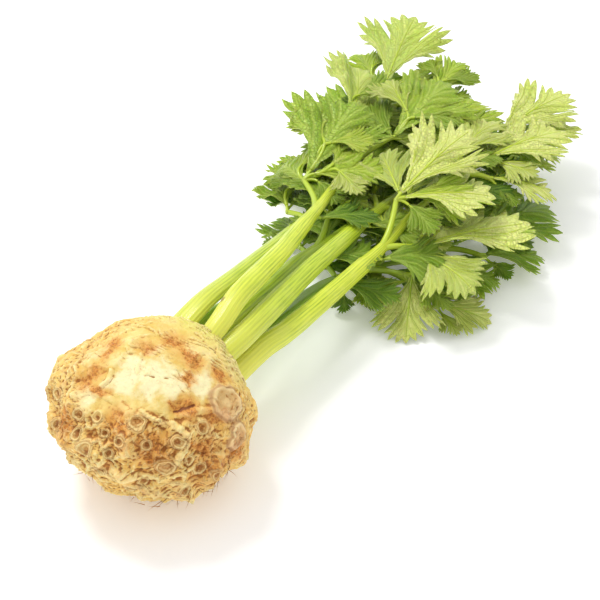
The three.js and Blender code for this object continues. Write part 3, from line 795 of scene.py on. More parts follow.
def hair_tree(material):
    sizes = {name: "NodeSocketFloat" for name in ("Length", "Radius", "Density")}
    g = Graph("hair roots", sizes | {"Seed": "NodeSocketInt"})
    mask = g.add("GeometryNodeInputNamedAttribute", {"Name": "hairy"}, data_type="FLOAT")[0]
    density = g.add("ShaderNodeMath", {0: g.given("Density"), 1: mask}, operation="MULTIPLY")[0]
    sockets = {"Mesh": g.given("Geometry"), "Density": density, "Seed": g.given("Seed")}
    spots = g.add("GeometryNodeDistributePointsOnFaces", sockets)
    tip = g.add("ShaderNodeCombineXYZ", {"X": 0.3, "Y": 0.1, "Z": 1.0})[0]
    bend = g.add("ShaderNodeCombineXYZ", {"X": -0.2, "Y": 0.2, "Z": 0.55})[0]
    arc = g.add("GeometryNodeCurveQuadraticBezier", {"Resolution": 6, "Middle": bend, "End": tip})[0]
    ring = g.add("GeometryNodeCurvePrimitiveCircle", {"Resolution": 5, "Radius": 1.0})[0]
    thick = g.add("ShaderNodeMath", {0: g.given("Radius"), 1: g.given("Length")}, operation="DIVIDE")[0]
    along = g.add("GeometryNodeSplineParameter", {})[0]
    taper_sockets = {"Value": along, "To Min": thick, "To Max": 0.006}
    taper = g.add("ShaderNodeMapRange", taper_sockets)[0]
    hair_sockets = {"Curve": arc, "Profile Curve": ring, "Scale": taper, "Fill Caps": True}
    hair = g.add("GeometryNodeCurveToMesh", hair_sockets)[0]
    low = g.add("ShaderNodeCombineXYZ", {"X": -0.7, "Y": -0.7, "Z": 0.0})[0]
    high = g.add("ShaderNodeCombineXYZ", {"X": 0.7, "Y": 0.7, "Z": 6.28})[0]
    wild_sockets = {0: low, 1: high, "Seed": g.given("Seed")}
    wild = g.add("FunctionNodeRandomValue", wild_sockets, data_type="FLOAT_VECTOR")[0]
    turn_sockets = {0: spots["Rotation"], 1: wild}
    turned = g.add("FunctionNodeRotateRotation", turn_sockets, rotation_space="LOCAL")[0]
    size_sockets = {2: 0.35, 3: 1.0, "Seed": g.given("Seed")}
    size = g.add("FunctionNodeRandomValue", size_sockets, data_type="FLOAT")[1]
    length = g.add("ShaderNodeMath", {0: size, 1: g.given("Length")}, operation="MULTIPLY")[0]
    stand_sockets = {"Points": spots[0], "Instance": hair, "Rotation": turned, "Scale": length}
    stood = g.add("GeometryNodeInstanceOnPoints", stand_sockets)[0]
    return g.finish(stood, material)


hair_finish, start, shader = new_material("hair roots", 0.7)
dry = start.noise(120).step(0.35, 0.65).mix(colour("b5803c"), colour("7c4a20"))
start.tree.links.new(dry.socket, shader.inputs["Base Color"])
low_down = smoothstep(0.05, -0.5, root_directions[:, 2]) * smoothstep(0.3, -0.4, root_directions[:, 1])
sides = smoothstep(0.2, 0.8, np.abs(root_directions[:, 0])) + 0.25
off_table = smoothstep(3.0, 9.0, root_points[:, 2])
hairy = root_piece.data.attributes.new("hairy", "FLOAT", "POINT")
hairy.data.foreach_set("value", np.clip(low_down * sides * off_table, 0, 1).astype(np.float32))
hair_values = {
    "Length": HAIR_LENGTH * MM,
    "Radius": HAIR_RADIUS * MM,
    "Density": HAIRS_PER_SQUARE_CM * SQUARE_CM_IN_SQUARE_METRE,
    "Seed": HAIR_SEED,
}
hairs = bpy.data.objects.new("hair_roots", apply_tree(root_piece, hair_tree(hair_finish), hair_values))
bpy.context.scene.collection.objects.link(hairs)
hand_over(hairs, "root_skin")
print("hair roots:", len(hairs.data.polygons), "faces")

# %% [markdown]
# ## The leaves' skeleton
# These are the same routes, forks and leaflets as in the solid fronds, apart from seven leaflets that
# are broader or narrower here, two of them with their tips moved by 5 and 7 mm. A route runs from the
# crown along the stalk and on along the rachis, which is the stem of the divided part, and `split` is
# the share of it where that part begins. A leaflet has a base, a tip, a roll in degrees about the
# line between them, and a breadth.


# %% The skeleton's table
def leaflet(base, tip, roll=0, breadth=1):
    return {"base": np.array(base, float), "tip": np.array(tip, float), "roll": roll, "breadth": breadth}


def branch(at, to, *leaflets):
    return {"at": at, "to": np.array(to, float), "leaflets": leaflets}


LEAVES = [
    {
        "name": "1",
        "facing": 105,
        "base": [20, 12],
        "split": 0.5,
        "route": [
            [-18, 44, 68], [-17, 72, 74], [-18, 103, 71], [-23, 141, 63], [-28, 178, 55],
            [-39, 225, 43], [-58, 280, 35], [-80, 335, 29],
        ],
        "branches": [
            branch(0.56, [-58, 222, 38], leaflet([-61, 226, 40], [-87, 251, 37], -10)),
            branch(0.68, [-74, 260, 34], leaflet([-78, 263, 33], [-102, 294, 27], -12)),
            branch(0.7, [-52, 286, 30], leaflet([-51, 290, 29], [-44, 342, 24], 8, 1.1)),
            branch(0.85, [-92, 314, 30], leaflet([-95, 318, 30], [-126, 356, 25], -10)),
            branch(0.88, [-73, 334, 32], leaflet([-71, 338, 32], [-62, 392, 34], 5, 1.1)),
            branch(1, [-82, 340, 29], leaflet([-82, 342, 29], [-104, 408, 28], 0, 1.05)),
        ],
    },
    {
        "name": "2",
        "facing": 80,
        "base": [14, 12],
        "split": 0.42,
        "route": [
            [6, 36, 69], [8, 56, 79], [6, 78, 85], [3, 105, 84], [-3, 140, 79], [-13, 178, 72],
            [-26, 226, 62], [-44, 290, 55], [-62, 345, 53], [-77, 384, 56],
        ],
        "branches": [
            branch(
                0.45,
                [-53, 236, 60],
                leaflet([-56, 240, 57], [-90, 260, 44], -25, 1.15),
                leaflet([-56, 246, 61], [-86, 317, 68], 30, 0.7),
                leaflet([-53, 245, 64], [-62, 316, 79], 10, 1.15),
                leaflet([-48, 243, 64], [-6, 268, 66], 15, 1),
            ),
            branch(0.7, [-65, 316, 60], leaflet([-67, 320, 60], [-106, 390, 64], 30, 0.9)),
            branch(0.66, [-28, 314, 64], leaflet([-26, 318, 65], [-22, 392, 74], 5, 1.0)),
            branch(0.93, [-92, 390, 52], leaflet([-94, 394, 52], [-124, 424, 50], -10, 1)),
            branch(0.88, [-40, 388, 55], leaflet([-38, 392, 56], [-40, 440, 66], 0, 1)),
            branch(1, [-78, 388, 58], leaflet([-79, 390, 58], [-96, 460, 76], 0, 1.05)),
        ],
    },
    {
        "name": "3",
        "facing": 80,
        "base": [13, 11],
        "split": 0.37,
        "route": [
            [1, 44, 62], [3, 77, 66], [1, 124, 62], [-3, 163, 57], [-6, 205, 47],
            [-10, 255, 38], [-15, 305, 33], [-23, 352, 32],
        ],
        "branches": [
            branch(
                0.4,
                [-21, 222, 53],
                leaflet([-24, 227, 51], [-38, 268, 47], 0, 0.9),
                leaflet([-19, 228, 51], [-10, 254, 54], 30, 0.6),
            ),
            branch(0.68, [-26, 284, 38], leaflet([-29, 288, 39], [-52, 330, 43], 5)),
            branch(0.7, [0, 286, 33], leaflet([1, 290, 31], [4, 334, 28], -5, 0.8)),
            branch(0.86, [-38, 334, 41], leaflet([-40, 338, 42], [-58, 386, 46], 5)),
            branch(0.88, [-4, 340, 34], leaflet([-2, 344, 34], [14, 394, 33], 0)),
            branch(1, [-24, 358, 32], leaflet([-24, 360, 32], [-34, 426, 37], 0, 1.05)),
        ],
    },
    {
        "name": "4",
        "facing": 65,
        "base": [16, 12],
        "split": 0.5,
        "route": [
            [18, 42, 66], [21, 70, 71], [17, 105, 68], [12, 149, 63], [8, 193, 57], [4, 234, 51],
            [5, 285, 47], [13, 340, 45], [22, 385, 44],
        ],
        "branches": [
            branch(0.58, [-8, 262, 49], leaflet([-11, 266, 48], [-24, 306, 45], 5, 0.9)),
            branch(0.6, [20, 268, 41], leaflet([22, 272, 36], [30, 312, 31], -8, 0.8)),
            branch(0.8, [2, 346, 50], leaflet([1, 350, 50], [-10, 406, 57], 0, 1.05)),
            branch(0.83, [34, 364, 46], leaflet([36, 367, 46], [70, 400, 38], -10, 1.25)),
            branch(0.96, [38, 394, 44], leaflet([40, 397, 44], [64, 440, 43], -10, 1)),
            branch(1, [23, 390, 46], leaflet([24, 394, 46], [52, 453, 57], 0, 1)),
        ],
    },
    {
        "name": "5",
        "facing": 45,
        "base": [17, 12],
        "split": 0.5,
        "route": [
            [22, 42, 48], [25, 78, 53], [27, 100, 51], [29, 149, 50], [30, 195, 50],
            [30, 222, 50], [28, 262, 52], [34, 302, 55], [40, 336, 57],
        ],
        "branches": [
            branch(
                0.54,
                [20, 246, 68],
                leaflet([21, 251, 71], [34, 324, 85], 5, 1.0),
                leaflet([25, 250, 69], [74, 288, 66], -12, 1.3),
            ),
            branch(
                0.56,
                [46, 229, 47],
                leaflet([49, 232, 47], [100, 298, 43], -15, 1.1),
                leaflet([46, 234, 48], [44, 262, 59], 50, 0.7),
                leaflet([50, 231, 45], [85, 252, 25], -30, 0.9),
            ),
            branch(0.88, [26, 322, 63], leaflet([26, 326, 63], [24, 378, 64], 0, 1)),
            branch(0.92, [52, 324, 54], leaflet([55, 326, 54], [97, 346, 42], -15, 1.1)),
            branch(1, [41, 340, 58], leaflet([42, 343, 58], [72, 398, 60], -5, 1.15)),
        ],
    },
    {
        "name": "6",
        "facing": 290,
        "base": [14, 11],
        "split": 0.48,
        "route": [
            [8, 44, 42], [11, 97, 49], [12, 113, 48], [11, 149, 42], [12, 178, 36], [18, 215, 25],
            [37, 258, 17], [54, 300, 15],
        ],
        "branches": [
            branch(0.52, [22, 196, 26], leaflet([26, 200, 26], [45, 214, 12], -20, 0.8)),
            branch(0.6, [45, 222, 27], leaflet([49, 224, 26], [69, 186, 1.5], 5, 1.15)),
            branch(0.64, [68, 222, 14], leaflet([72, 222, 12], [106, 236, 3], 5, 1.1)),
            branch(0.67, [4, 250, 20], leaflet([1, 254, 20], [-16, 296, 18], 5, 1.1)),
            branch(0.74, [56, 252, 18], leaflet([60, 254, 18], [97, 270, 8], -5, 1.0)),
            branch(0.88, [70, 284, 16], leaflet([74, 287, 16], [104, 316, 6], -5, 1.25)),
            branch(0.87, [32, 308, 20], leaflet([31, 312, 20], [26, 366, 20], 5, 1.1)),
            branch(1, [56, 305, 15], leaflet([57, 308, 15], [84, 366, 14], 0, 1.1)),
        ],
    },
    {
        "name": "7",
        "facing": 220,
        "base": [18, 12],
        "split": 0.44,
        "route": [
            [-16, 45, 48], [-20, 86, 48], [-22, 136, 36], [-22, 190, 20], [-22, 250, 11],
            [-16, 320, 9], [-4, 372, 8],
        ],
        "branches": [
            branch(0.48, [-42, 216, 16], leaflet([-45, 220, 15], [-78, 248, 4], -5, 1.1)),
            branch(0.5, [2, 202, 12], leaflet([6, 202, 11], [40, 208, 5], 0, 1.1)),
            branch(0.66, [-42, 278, 13], leaflet([-45, 282, 12], [-80, 320, 5], -5, 1.1)),
            branch(0.82, [-36, 332, 12], leaflet([-38, 336, 12], [-62, 382, 10], -5, 1.1)),
            branch(0.84, [10, 342, 10], leaflet([14, 344, 9], [50, 380, 3], 0, 1.1)),
            branch(1, [-3, 376, 9], leaflet([-2, 380, 9], [16, 438, 8], 0, 1.15)),
        ],
    },
]

# %% [markdown]
# ## Walking along a route
# The solid leaves follow a centripetal Catmull-Rom curve, which passes through all its points and
# doesn't loop where they lie close together. The curve is measured once in small steps, so that a
# share of its length can be turned into a place on it.


# %% Curves
WALK_STEPS = 200


class Route:
    """A centripetal Catmull-Rom curve, walked by the share of its length."""

    def __init__(self, points):
        p = np.array(points, float)
        self.points = np.vstack([2 * p[0] - p[1], p, 2 * p[-1] - p[-2]])
        self.spans = len(p) - 1
        self.shares = np.linspace(0, 1, WALK_STEPS + 1)
        steps = np.linalg.norm(np.diff(self.raw(self.shares), axis=0), axis=1)
        self.walked = np.concatenate([[0], np.cumsum(steps)])
        self.length = self.walked[-1]

    def raw(self, t):
        place = np.clip(np.asarray(t, float), 0, 1) * self.spans
        span = np.minimum(place.astype(int), self.spans - 1)
        w = (place - span)[:, None]
        p0, p1, p2, p3 = (self.points[span + k] for k in range(4))
        pairs = ((p0, p1), (p1, p2), (p2, p3))
        d0, d1, d2 = [np.sqrt(np.linalg.norm(b - a, axis=1))[:, None] for a, b in pairs]
        m1 = ((p1 - p0) / d0 - (p2 - p0) / (d0 + d1) + (p2 - p1) / d1) * d1
        m2 = ((p2 - p1) / d1 - (p3 - p1) / (d1 + d2) + (p3 - p2) / d2) * d1
        curve = p1 + m1 * w + (3 * (p2 - p1) - 2 * m1 - m2) * w**2
        return curve + (2 * (p1 - p2) + m1 + m2) * w**3

    def at(self, shares):
        """Places and unit tangents at shares of the length."""
        t = np.interp(np.atleast_1d(shares) * self.length, self.walked, self.shares)
        ahead, behind = self.raw(t + 0.0005), self.raw(t - 0.0005)
        return self.raw(t), unit(ahead - behind)


# %% [markdown]
# ## Stalks
# A leaf stalk of celeriac has a half round back with strong ribs, and a shallow channel in its front.
# The section is a ring of points that slides along the route and shrinks towards the leaflets. The
# stalk and the stem of its divided part are one piece here, so no joint shows between them. Near the
# root the stalk is a wide sheath.

# %% Stalks and rachises
WAIST = 0.4
MIDDLE_SIZE = (15, 11.5)
RACHIS_SIZE = (11.5, 9)
TIP_SIZE = (2.6, 2.4)
STEM_SIDES = 96
RING_STEP = 2.6  # mm
RIBS = 9
RIB_HEIGHT = 0.026  # a share of the thickness
CHANNEL_DEPTH = 0.22
# How light each stalk is: the low ones lie in the shade and are painted a deeper green for it, as painted
# shade.
STALK_SHADE_TONES = {"7": 0.05, "6": 0.3, "3": 0.35, "1": 0.55, "2": 0.8, "4": 0.55, "5": 0.85}
INSIDE_HEIGHT = 0.8


def stem_size(leaf, t):
    """Width and thickness of a leaf's stem at shares of its route."""
    stops = (0, WAIST * leaf["split"], leaf["split"])
    taper = np.sqrt(np.clip((t - leaf["split"]) / (1 - leaf["split"]), 0, 1))
    size = []
    for base, middle, start, tip in zip(leaf["base"], MIDDLE_SIZE, RACHIS_SIZE, TIP_SIZE):
        size.append(np.interp(t, stops, (base, middle, start)) + (tip - start) * taper)
    return size


def ring_faces(rings, sides):
    """Triangles of a closed tube, whose end rings are each closed by a last point."""
    i, j = np.meshgrid(np.arange(rings - 1), np.arange(sides), indexing="ij")
    a, b = (i * sides + j).ravel(), (i * sides + (j + 1) % sides).ravel()
    wall = [np.stack([a, b, a + sides], 1), np.stack([b, b + sides, a + sides], 1)]
    j = np.arange(sides)
    k = (j + 1) % sides
    last = (rings - 1) * sides
    first_cap = np.stack([k, j, np.full(sides, rings * sides)], 1)
    last_cap = np.stack([last + j, last + k, np.full(sides, rings * sides + 1)], 1)
    return np.concatenate([*wall, first_cap, last_cap])


def ribbed_stem(name, leaf, material):
    """The ribbed stem of a leaf, from inside the root to the end of its rachis."""
    route = leaf["curve"]
    rings = 2 + int(route.length / RING_STEP)
    t = np.linspace(0, 1, rings)
    centre, tangent = route.at(t)
    facing = math.radians(leaf["facing"])
    side = unit(np.cross(tangent, (math.cos(facing), 0, math.sin(facing))))
    above = np.cross(side, tangent)
    width, thickness = (v[:, None] for v in stem_size(leaf, t))
    angle = np.arange(STEM_SIDES) * 2 * math.pi / STEM_SIDES
    across, height = np.cos(angle), np.sin(angle)
    back = smoothstep(-0.3, 0.25, height)
    wander = 0.12 * np.sin(t * 19 + leaf["seed"])[:, None]
    ridge = np.abs(np.sin(RIBS * angle + wander))
    lines = 0.25 * np.abs(np.sin(11 * angle + 2 * wander)) * (1 - back)
    rib = 0.5 + (ridge**0.8 - 0.5) * back + (lines - 0.5) * (1 - back) * 0.4
    swell = 1 + RIB_HEIGHT * (rib - 0.75) * 2
    outside = height >= 0
    channel = np.where(outside, 0, CHANNEL_DEPTH * (1 - across**2))
    u = thickness * (0.5 * height * np.where(outside, 1, INSIDE_HEIGHT) + channel) * swell
    s = width * 0.5 * across * swell
    noise_at = (centre + leaf["seed"] * 31).astype(float)
    bumps = 1 + 0.03 * lattice_noise(noise_at, 14, 61)[:, None]
    section = s[..., None] * side[:, None] + u[..., None] * above[:, None]
    points = centre[:, None] + bumps[..., None] * section
    points = np.concatenate([points.reshape(-1, 3), centre[[0, -1]]])
    spread = np.ones_like(s)
    numbers = {
        "along": np.append((spread * t[:, None] * route.length).ravel(), (0, 0)),
        "around": np.append((spread * angle / 6.28).ravel(), (0, 0)),
        "rib": np.append((rib * spread).ravel(), (0.5, 0.5)),
        # where back is 0, on the inner face, the stalk's material paints shade
        "back": np.append((back * spread).ravel(), (0, 0)),
        "tone": np.full(len(points), STALK_SHADE_TONES[leaf["name"]]),
        "stemmy": np.append((spread * smoothstep(leaf["split"], 1, t)[:, None]).ravel(), (0, 0)),
    }
    return mesh_object(name, points, ring_faces(rings, STEM_SIDES), material, numbers)


# %% [markdown]
# The stalk's green is a lime that pales to cream where it joins the root, most of all on the light
# stalks. The grooves between the ribs are greener and the ridges paler, with fine lengthwise streaks,
# because the strings of a stalk run inside its ribs. The inner face, with the channel, is darkened to
# a deeper green as painted shade. Some brown nicks come from handling. Each stalk and leaf also has a
# tone from 0 to 1, which the materials read: deep green, or light and yellowish. The tones are mostly
# painted light and shade: deep green low in the heap and light on top, with a random spread on leaflets.

# %% The stalk's material
stalk_skin, start, shader = new_material("leaf stalk", 0.34, 0.22, (0.003, 0.004, 0.001))
along = start.attribute("along")
rib = start.attribute("rib")
tone = start.attribute("tone")
stemmy = start.attribute("stemmy")
grown = {"X": start.attribute("around") * 26.0, "Y": along * 0.02, "Z": tone * 9.0}
strip = start.node("ShaderNodeCombineXYZ", grown)
streak = start.node("ShaderNodeTexNoise", {"Vector": strip, "Scale": 2.2, "Detail": 5.0, "Roughness": 0.6})
mottle = start.noise(45, 4, 0.6)
light = tone.mix(colour("9abf22"), colour("e8ee48"))
dark = tone.mix(colour("55860c"), colour("a2be1c"))
green = (rib * 0.45 + (streak - 0.5) * 2.2 + 0.32).step(0.0, 1.0).mix(dark, light)
green = (mottle.step(0.45, 0.75) * 0.35).mix(green, tone.mix(colour("a5bd3c"), colour("ecee74")))
# Painted shade: the inner face of the stalk, with the channel, is darkened to the deep green.
green = (start.attribute("back").step(0.75, 0.0) * 0.55).mix(green, dark)
green = (stemmy * 0.75).mix(green, tone.mix(colour("86a528"), colour("b8cf38")))
pale = (along + (streak - 0.5) * 30).step(75, 8)
green = (pale * (0.15 + tone * 0.75)).mix(green, colour("e6e25c"))
nick = start.noise(95, 2, 0.4, (1, 0.5, 1)).step(0.74, 0.78) * start.noise(22).step(0.5, 0.6)
green = (nick * 0.5).mix(green, colour("9a7a2c"))
# The torn edge of one sheath has dried brown.
DRY_SPOT = (0.001, 0.069, 0.088)
DRY_REACH = 0.0035
away = start.node("ShaderNodeVectorMath", {0: start.place(), 1: DRY_SPOT}, 1, operation="DISTANCE")
dry = (away + (streak - 0.5) * DRY_REACH).step(DRY_REACH, 0.4 * DRY_REACH)
green = (dry * 0.8).mix(green, colour("8a6a24"))
start.tree.links.new(green.socket, shader.inputs["Base Color"])
height = rib * 0.4 + streak * 0.8
bump = start.node("ShaderNodeBump", {"Height": height, "Strength": 0.5, "Distance": 0.0006})
start.tree.links.new(bump.socket, shader.inputs["Normal"])
shader.inputs["Coat Weight"].default_value = 0.15

# Each leaf's brightness in the heap, from the lowest to the one on top, as painted light and shade.
LEAF_LIGHT_TONES = {"7": 0.2, "6": 0.45, "3": 0.45, "1": 0.7, "2": 0.72, "4": 0.85, "5": 0.95}
# Branches whose leaflets lie with their pale backs up: the leaf's name and the branch's number.
BACKS_UP = {("2", 1), ("2", 5), ("4", 3), ("4", 4), ("4", 5), ("6", 0), ("6", 1), ("6", 2)}
BACKS_UP |= {("5", 0), ("5", 1), ("5", 2), ("5", 3), ("5", 4)}
# Low branches that reach out of the heap into the light, given the lightest tone as painted light.
LIT = {("6", 0), ("6", 1), ("6", 2)}
# Branches whose tone isn't their leaf's, also painted light and shade.
BRANCH_LIGHT_TONES = {("2", 5): 0.4, ("2", 1): 0.6, ("4", 5): 0.75}
BRANCH_LIGHT_TONES |= {("5", 0): 1.1, ("5", 1): 1.05}
for number, leaf in enumerate(LEAVES):
    leaf["tone"] = LEAF_LIGHT_TONES[leaf["name"]]
    leaf["seed"] = number
    leaf["curve"] = Route(leaf["route"])
    stem = ribbed_stem("stem_" + leaf["name"], leaf, stalk_skin)
    hand_over(stem, "stalk", "stalk_" + leaf["name"], "frond_" + leaf["name"])
    print("leaf", leaf["name"], "is", round(leaf["curve"].length), "mm to the end of its rachis")

# %% [markdown]
# ## One leaflet, flat
# All leaflets share one flat pattern, one unit long, with the midrib on the x axis. Its half edge is
# drawn as teeth with notches between them, and each flank of a tooth is bowed a little outwards. A
# constrained Delaunay triangulation fills the pattern with an even grid, and that gives the blade
# enough points to bend, ruffle and pucker.

# %% The flat pattern
HALF_EDGE = [
    (0, 0.02),
    (0.12, 0.05),
    (0.25, 0.115),
    (0.36, 0.2),
    (0.42, 0.27),
    (0.485, 0.375),
    (0.482, 0.297),
    (0.615, 0.46),
    (0.592, 0.348),
    (0.73, 0.51),
    (0.676, 0.377),
    (0.81, 0.46),
    (0.73, 0.327),
    (0.845, 0.37),
    (0.745, 0.248),
    (0.565, 0.12),
    (0.7, 0.165),
    (0.785, 0.225),
    (0.87, 0.29),
    (0.815, 0.182),
    (0.955, 0.24),
    (0.885, 0.122),
    (1.01, 0.14),
    (0.95, 0.055),
    (1.04, 0),
]
VEINS = [
    [(0.05, 0.0), (0.22, 0.075), (0.42, 0.205), (0.72, 0.49)],
    [(0.25, 0.09), (0.36, 0.19), (0.475, 0.355)],
    [(0.36, 0.165), (0.47, 0.28), (0.605, 0.44)],
    [(0.3, 0.12), (0.52, 0.245), (0.795, 0.44)],
    [(0.22, 0.075), (0.5, 0.16), (0.83, 0.355)],
    [(0.3, 0.0), (0.55, 0.07), (0.86, 0.28)],
    [(0.48, 0.0), (0.7, 0.07), (0.94, 0.225)],
    [(0.64, 0.0), (0.83, 0.06), (0.995, 0.13)],
]
GRID = 0.034
BULGE = 0.1
FLANK_STEPS = 3


def bowed(corners):
    """The corners' outline with each side bowed outwards, for an outline that turns left."""
    out = []
    for a, b in zip(corners, np.roll(corners, -1, axis=0)):
        side = b - a
        control = (a + b) / 2 + BULGE * np.array((side[1], -side[0]))
        for t in np.arange(FLANK_STEPS) / FLANK_STEPS:
            out.append((1 - t) ** 2 * a + 2 * t * (1 - t) * control + t * t * b)
    return np.array(out)


def inside_of(outline, points):
    a, b = outline, np.roll(outline, -1, axis=0)
    y = points[:, 1, None]
    crosses = (a[:, 1] > y) != (b[:, 1] > y)
    run = np.where(b[:, 1] == a[:, 1], 1, b[:, 1] - a[:, 1])
    x = a[:, 0] + (y - a[:, 1]) / run * (b[:, 0] - a[:, 0])
    return (crosses & (points[:, 0, None] < x)).sum(1) % 2 == 1


def distance_to_path(points, path):
    best = np.full(len(points), 9.0)
    for a, b in zip(path[:-1], path[1:]):
        a, along = np.array(a), np.array(b) - np.array(a)
        t = np.clip((points - a) @ along / (along @ along), 0, 1)
        best = np.minimum(best, np.linalg.norm(points - a - t[:, None] * along, axis=1))
    return best


def make_pattern():
    """Points, triangles, edge loop and vein distances of the flat leaflet."""
    half = np.array(HALF_EDGE)
    outline = bowed(np.concatenate([half * (1, -1), half[-2::-1]]))
    steps = np.arange(0.01, 1, GRID)
    rows = np.arange(-0.6, 0.6, GRID * 0.87)
    grid = np.array([(x + GRID / 2 * (k % 2), y) for k, y in enumerate(rows) for x in steps])
    grid = grid[inside_of(outline, grid)]
    loop = np.concatenate([outline, outline[:1]])
    grid = grid[distance_to_path(grid, loop) > GRID * 0.45]
    count = len(outline)
    rim = [(i, (i + 1) % count) for i in range(count)]
    flat = [Vector(p) for p in np.concatenate([outline, grid])]
    points, _, faces, *_ = geometry.delaunay_2d_cdt(flat, rim, [], 1, 1e-6)
    points = np.array([tuple(p) for p in points])
    mirrored = points * (1, 0) + np.abs(points) * (0, 1)
    veins = np.min([distance_to_path(mirrored, path) for path in [[(0, 0), (1, 0)], *VEINS]], axis=0)
    return points, np.array(faces), count, veins


pattern_points, pattern_faces, rim_count, vein_distance = make_pattern()
print("leaflet pattern:", len(pattern_points), "points,", len(pattern_faces), "triangles")

# %% [markdown]
# ## Leaflets in their places
# A leaflet is bent with the same formula as in the solid: bowed along its length, folded up from the
# midrib and waved at its sides. The fine one has more: each has its own seeded ruffle, a curl at its
# tip, and blisters between the veins, as the veins grow more slowly than the blade between them. Two
# sheets of points, 0.6 mm apart and joined at the rim, make each blade a closed body. A small leaflet
# starts beside its stem and turns away from it. No point lies lower than the table allows.

# %% Bend and place the leaflets
BLADE_HALF = 0.3  # mm
PUCKER = 0.014
PLEATS = 13
OVER_TABLE = 1.0  # mm, the lowest a blade may lie
SMALL_OVER_TABLE = 2.5  # mm, and the lowest a small leaflet may start or end
STEM_STEPS = 8
SMALL_GAP = 5  # mm between a small leaflet's base and the point it grows from
BRANCH_RADII = (2.6, 1.9)  # mm, at both ends
STEM_RADII = (1.5, 1.05)


def leaflet_frame(one):
    along = one["tip"] - one["base"]
    length = np.linalg.norm(along)
    along = along / length
    side = unit(np.cross((0, 0, 1), along))
    roll = math.radians(one["roll"])
    side = side * math.cos(roll) + np.cross(along, side) * math.sin(roll)
    return along, side, np.cross(along, side), length


def on_blade(one, x, y, lift):
    """Points on a leaflet for pattern coordinates, lifted off its middle sheet by lift in mm."""
    along, side, normal, length = one["frame"]
    a, b, c, d = one["own"]
    reach, angle = np.hypot(x, y), np.arctan2(y, np.maximum(x, 1e-6))
    turned = angle * (1 + 0.1 * a) + 0.12 * b * np.sin(2.2 * angle) ** 2
    reach = reach * (1 + 0.06 * d * np.sin(5 * angle + 3 * c))
    x, y = reach * np.cos(turned), reach * np.sin(turned)
    wide = np.abs(y)
    height = 0.24 * x * (1 - x) + 0.12 * wide + 0.1 * np.sin(9 * x) * wide
    height = height + 0.036 * np.cos(PLEATS * angle + 2 * c) * smoothstep(0.15, 0.8, reach)
    height = height + 0.1 * a * wide * np.sin(13 * x + 5 * b + 7 * y) + 0.07 * c * y
    height = height + 0.06 * d * np.sin(23 * x + 17 * y + 9 * a) * wide
    height = height - (0.14 + 0.1 * c) * smoothstep(0.2, 0.6, wide) * 0.5
    height = height + 0.35 * b * np.maximum(0, reach - 0.6) ** 2
    height = height * length + lift
    points = one["base"] + np.outer(x * length, along) + np.outer(height, normal)
    points += np.outer(y * length * one["breadth"], side)
    points[:, 2] = np.maximum(points[:, 2], OVER_TABLE + lift)
    return points


def fork_of(leaf, arm):
    """Where a branch ends: its point and heading, and the branch's own path unless it is the tip."""
    (root,), (tangent,) = leaf["curve"].at(arm["at"])
    if arm["at"] == 1:
        return root, tangent, None
    reach = np.linalg.norm(arm["to"] - root) * 0.45
    t = np.linspace(0, 1, 10)[:, None]
    bent = (1 - t) ** 2 * root + 2 * t * (1 - t) * (root + tangent * reach) + t**2 * arm["to"]
    return arm["to"], unit(arm["to"] - root), bent


def side_leaflet(start, heading, length, hand, drop, random):
    """A small leaflet beside a stem, turned away from its heading to the given hand."""
    heading = unit(heading * (1, 1, 0.4))
    side = unit(np.cross((0, 0, 1), heading)) * hand
    turn = math.radians(42 + 26 * next(random))
    outwards = heading * math.cos(turn) + side * math.sin(turn)
    base = start + outwards * SMALL_GAP - (0, 0, drop)
    tip = base + outwards * length - (0, 0, 0.12 * length * next(random))
    base[2], tip[2] = max(base[2], SMALL_OVER_TABLE), max(tip[2], SMALL_OVER_TABLE)
    return leaflet(base, tip, roll=hand * (8 - 24 * next(random)), breadth=0.95 + 0.2 * next(random))


def stem_path(one, fork, heading):
    start = fork - heading * 2.5
    along = one["frame"][0]
    reach = np.linalg.norm(start - one["base"]) * 0.4
    t = np.linspace(0, 1, STEM_STEPS)[:, None]
    a, b = start + heading * reach, one["base"] - along * reach
    return (1 - t) ** 3 * start + 3 * t * (1 - t) ** 2 * a + 3 * t**2 * (1 - t) * b + t**3 * one["base"]


def vein_paths(one):
    """The midrib and the main side veins on the leaflet's back, with their radii."""
    lift = (1 if one["turned"] else -1) * BLADE_HALF
    x = np.linspace(0.02, 0.96, 14)
    paths = [(on_blade(one, x, 0 * x, lift), np.interp(x, (0, 1), (0.95, 0.2)))]
    for number in (0, 3, 4, 5, 6):
        for hand in (-1, 1):
            path = np.array(VEINS[number])
            t = np.linspace(0, 1, 7)
            knots = np.linspace(0, 1, len(path))
            x, y = (np.interp(t, knots, path[:, k]) for k in range(2))
            thick = 0.5 if number == 0 else 0.3
            paths.append((on_blade(one, x, hand * y, lift), np.interp(t, (0, 1), (thick, 0.12))))
    return paths


def blade(one):
    """One leaflet as a closed body: points, triangles and numbers for the material."""
    x, y = pattern_points.T
    pucker = PUCKER * np.minimum(vein_distance / 0.045, 1) * one["frame"][3]
    pucker = pucker * (1 if not one["turned"] else -1) * smoothstep(0, 0.1, x)
    top = on_blade(one, x, y, pucker + BLADE_HALF)
    under = on_blade(one, x, y, pucker - BLADE_HALF)
    count = len(x)
    a = np.arange(rim_count)
    b = (a + 1) % rim_count
    walls = [np.stack([a, a + count, b], 1), np.stack([b, a + count, b + count], 1)]
    faces = np.concatenate([pattern_faces, pattern_faces[:, ::-1] + count, *walls])
    back = np.repeat((one["turned"], 1 - one["turned"]), count)
    numbers = {
        "px": np.tile(x, 2),
        "py": np.tile(np.abs(y), 2),
        "back": back,
        "tone": np.full(2 * count, one["tone"]),
    }
    return np.concatenate([top, under]), faces, numbers


# %% [markdown]
# ## Stems and veins
# Branches, leaflet stems and raised veins are all tubes along a path, so they are one job for
# Geometry Nodes. The paths go in as bare edges with a thickness on each point. The tree turns the
# edges into curves, runs a small circle along them at that thickness, and keeps the tubes.


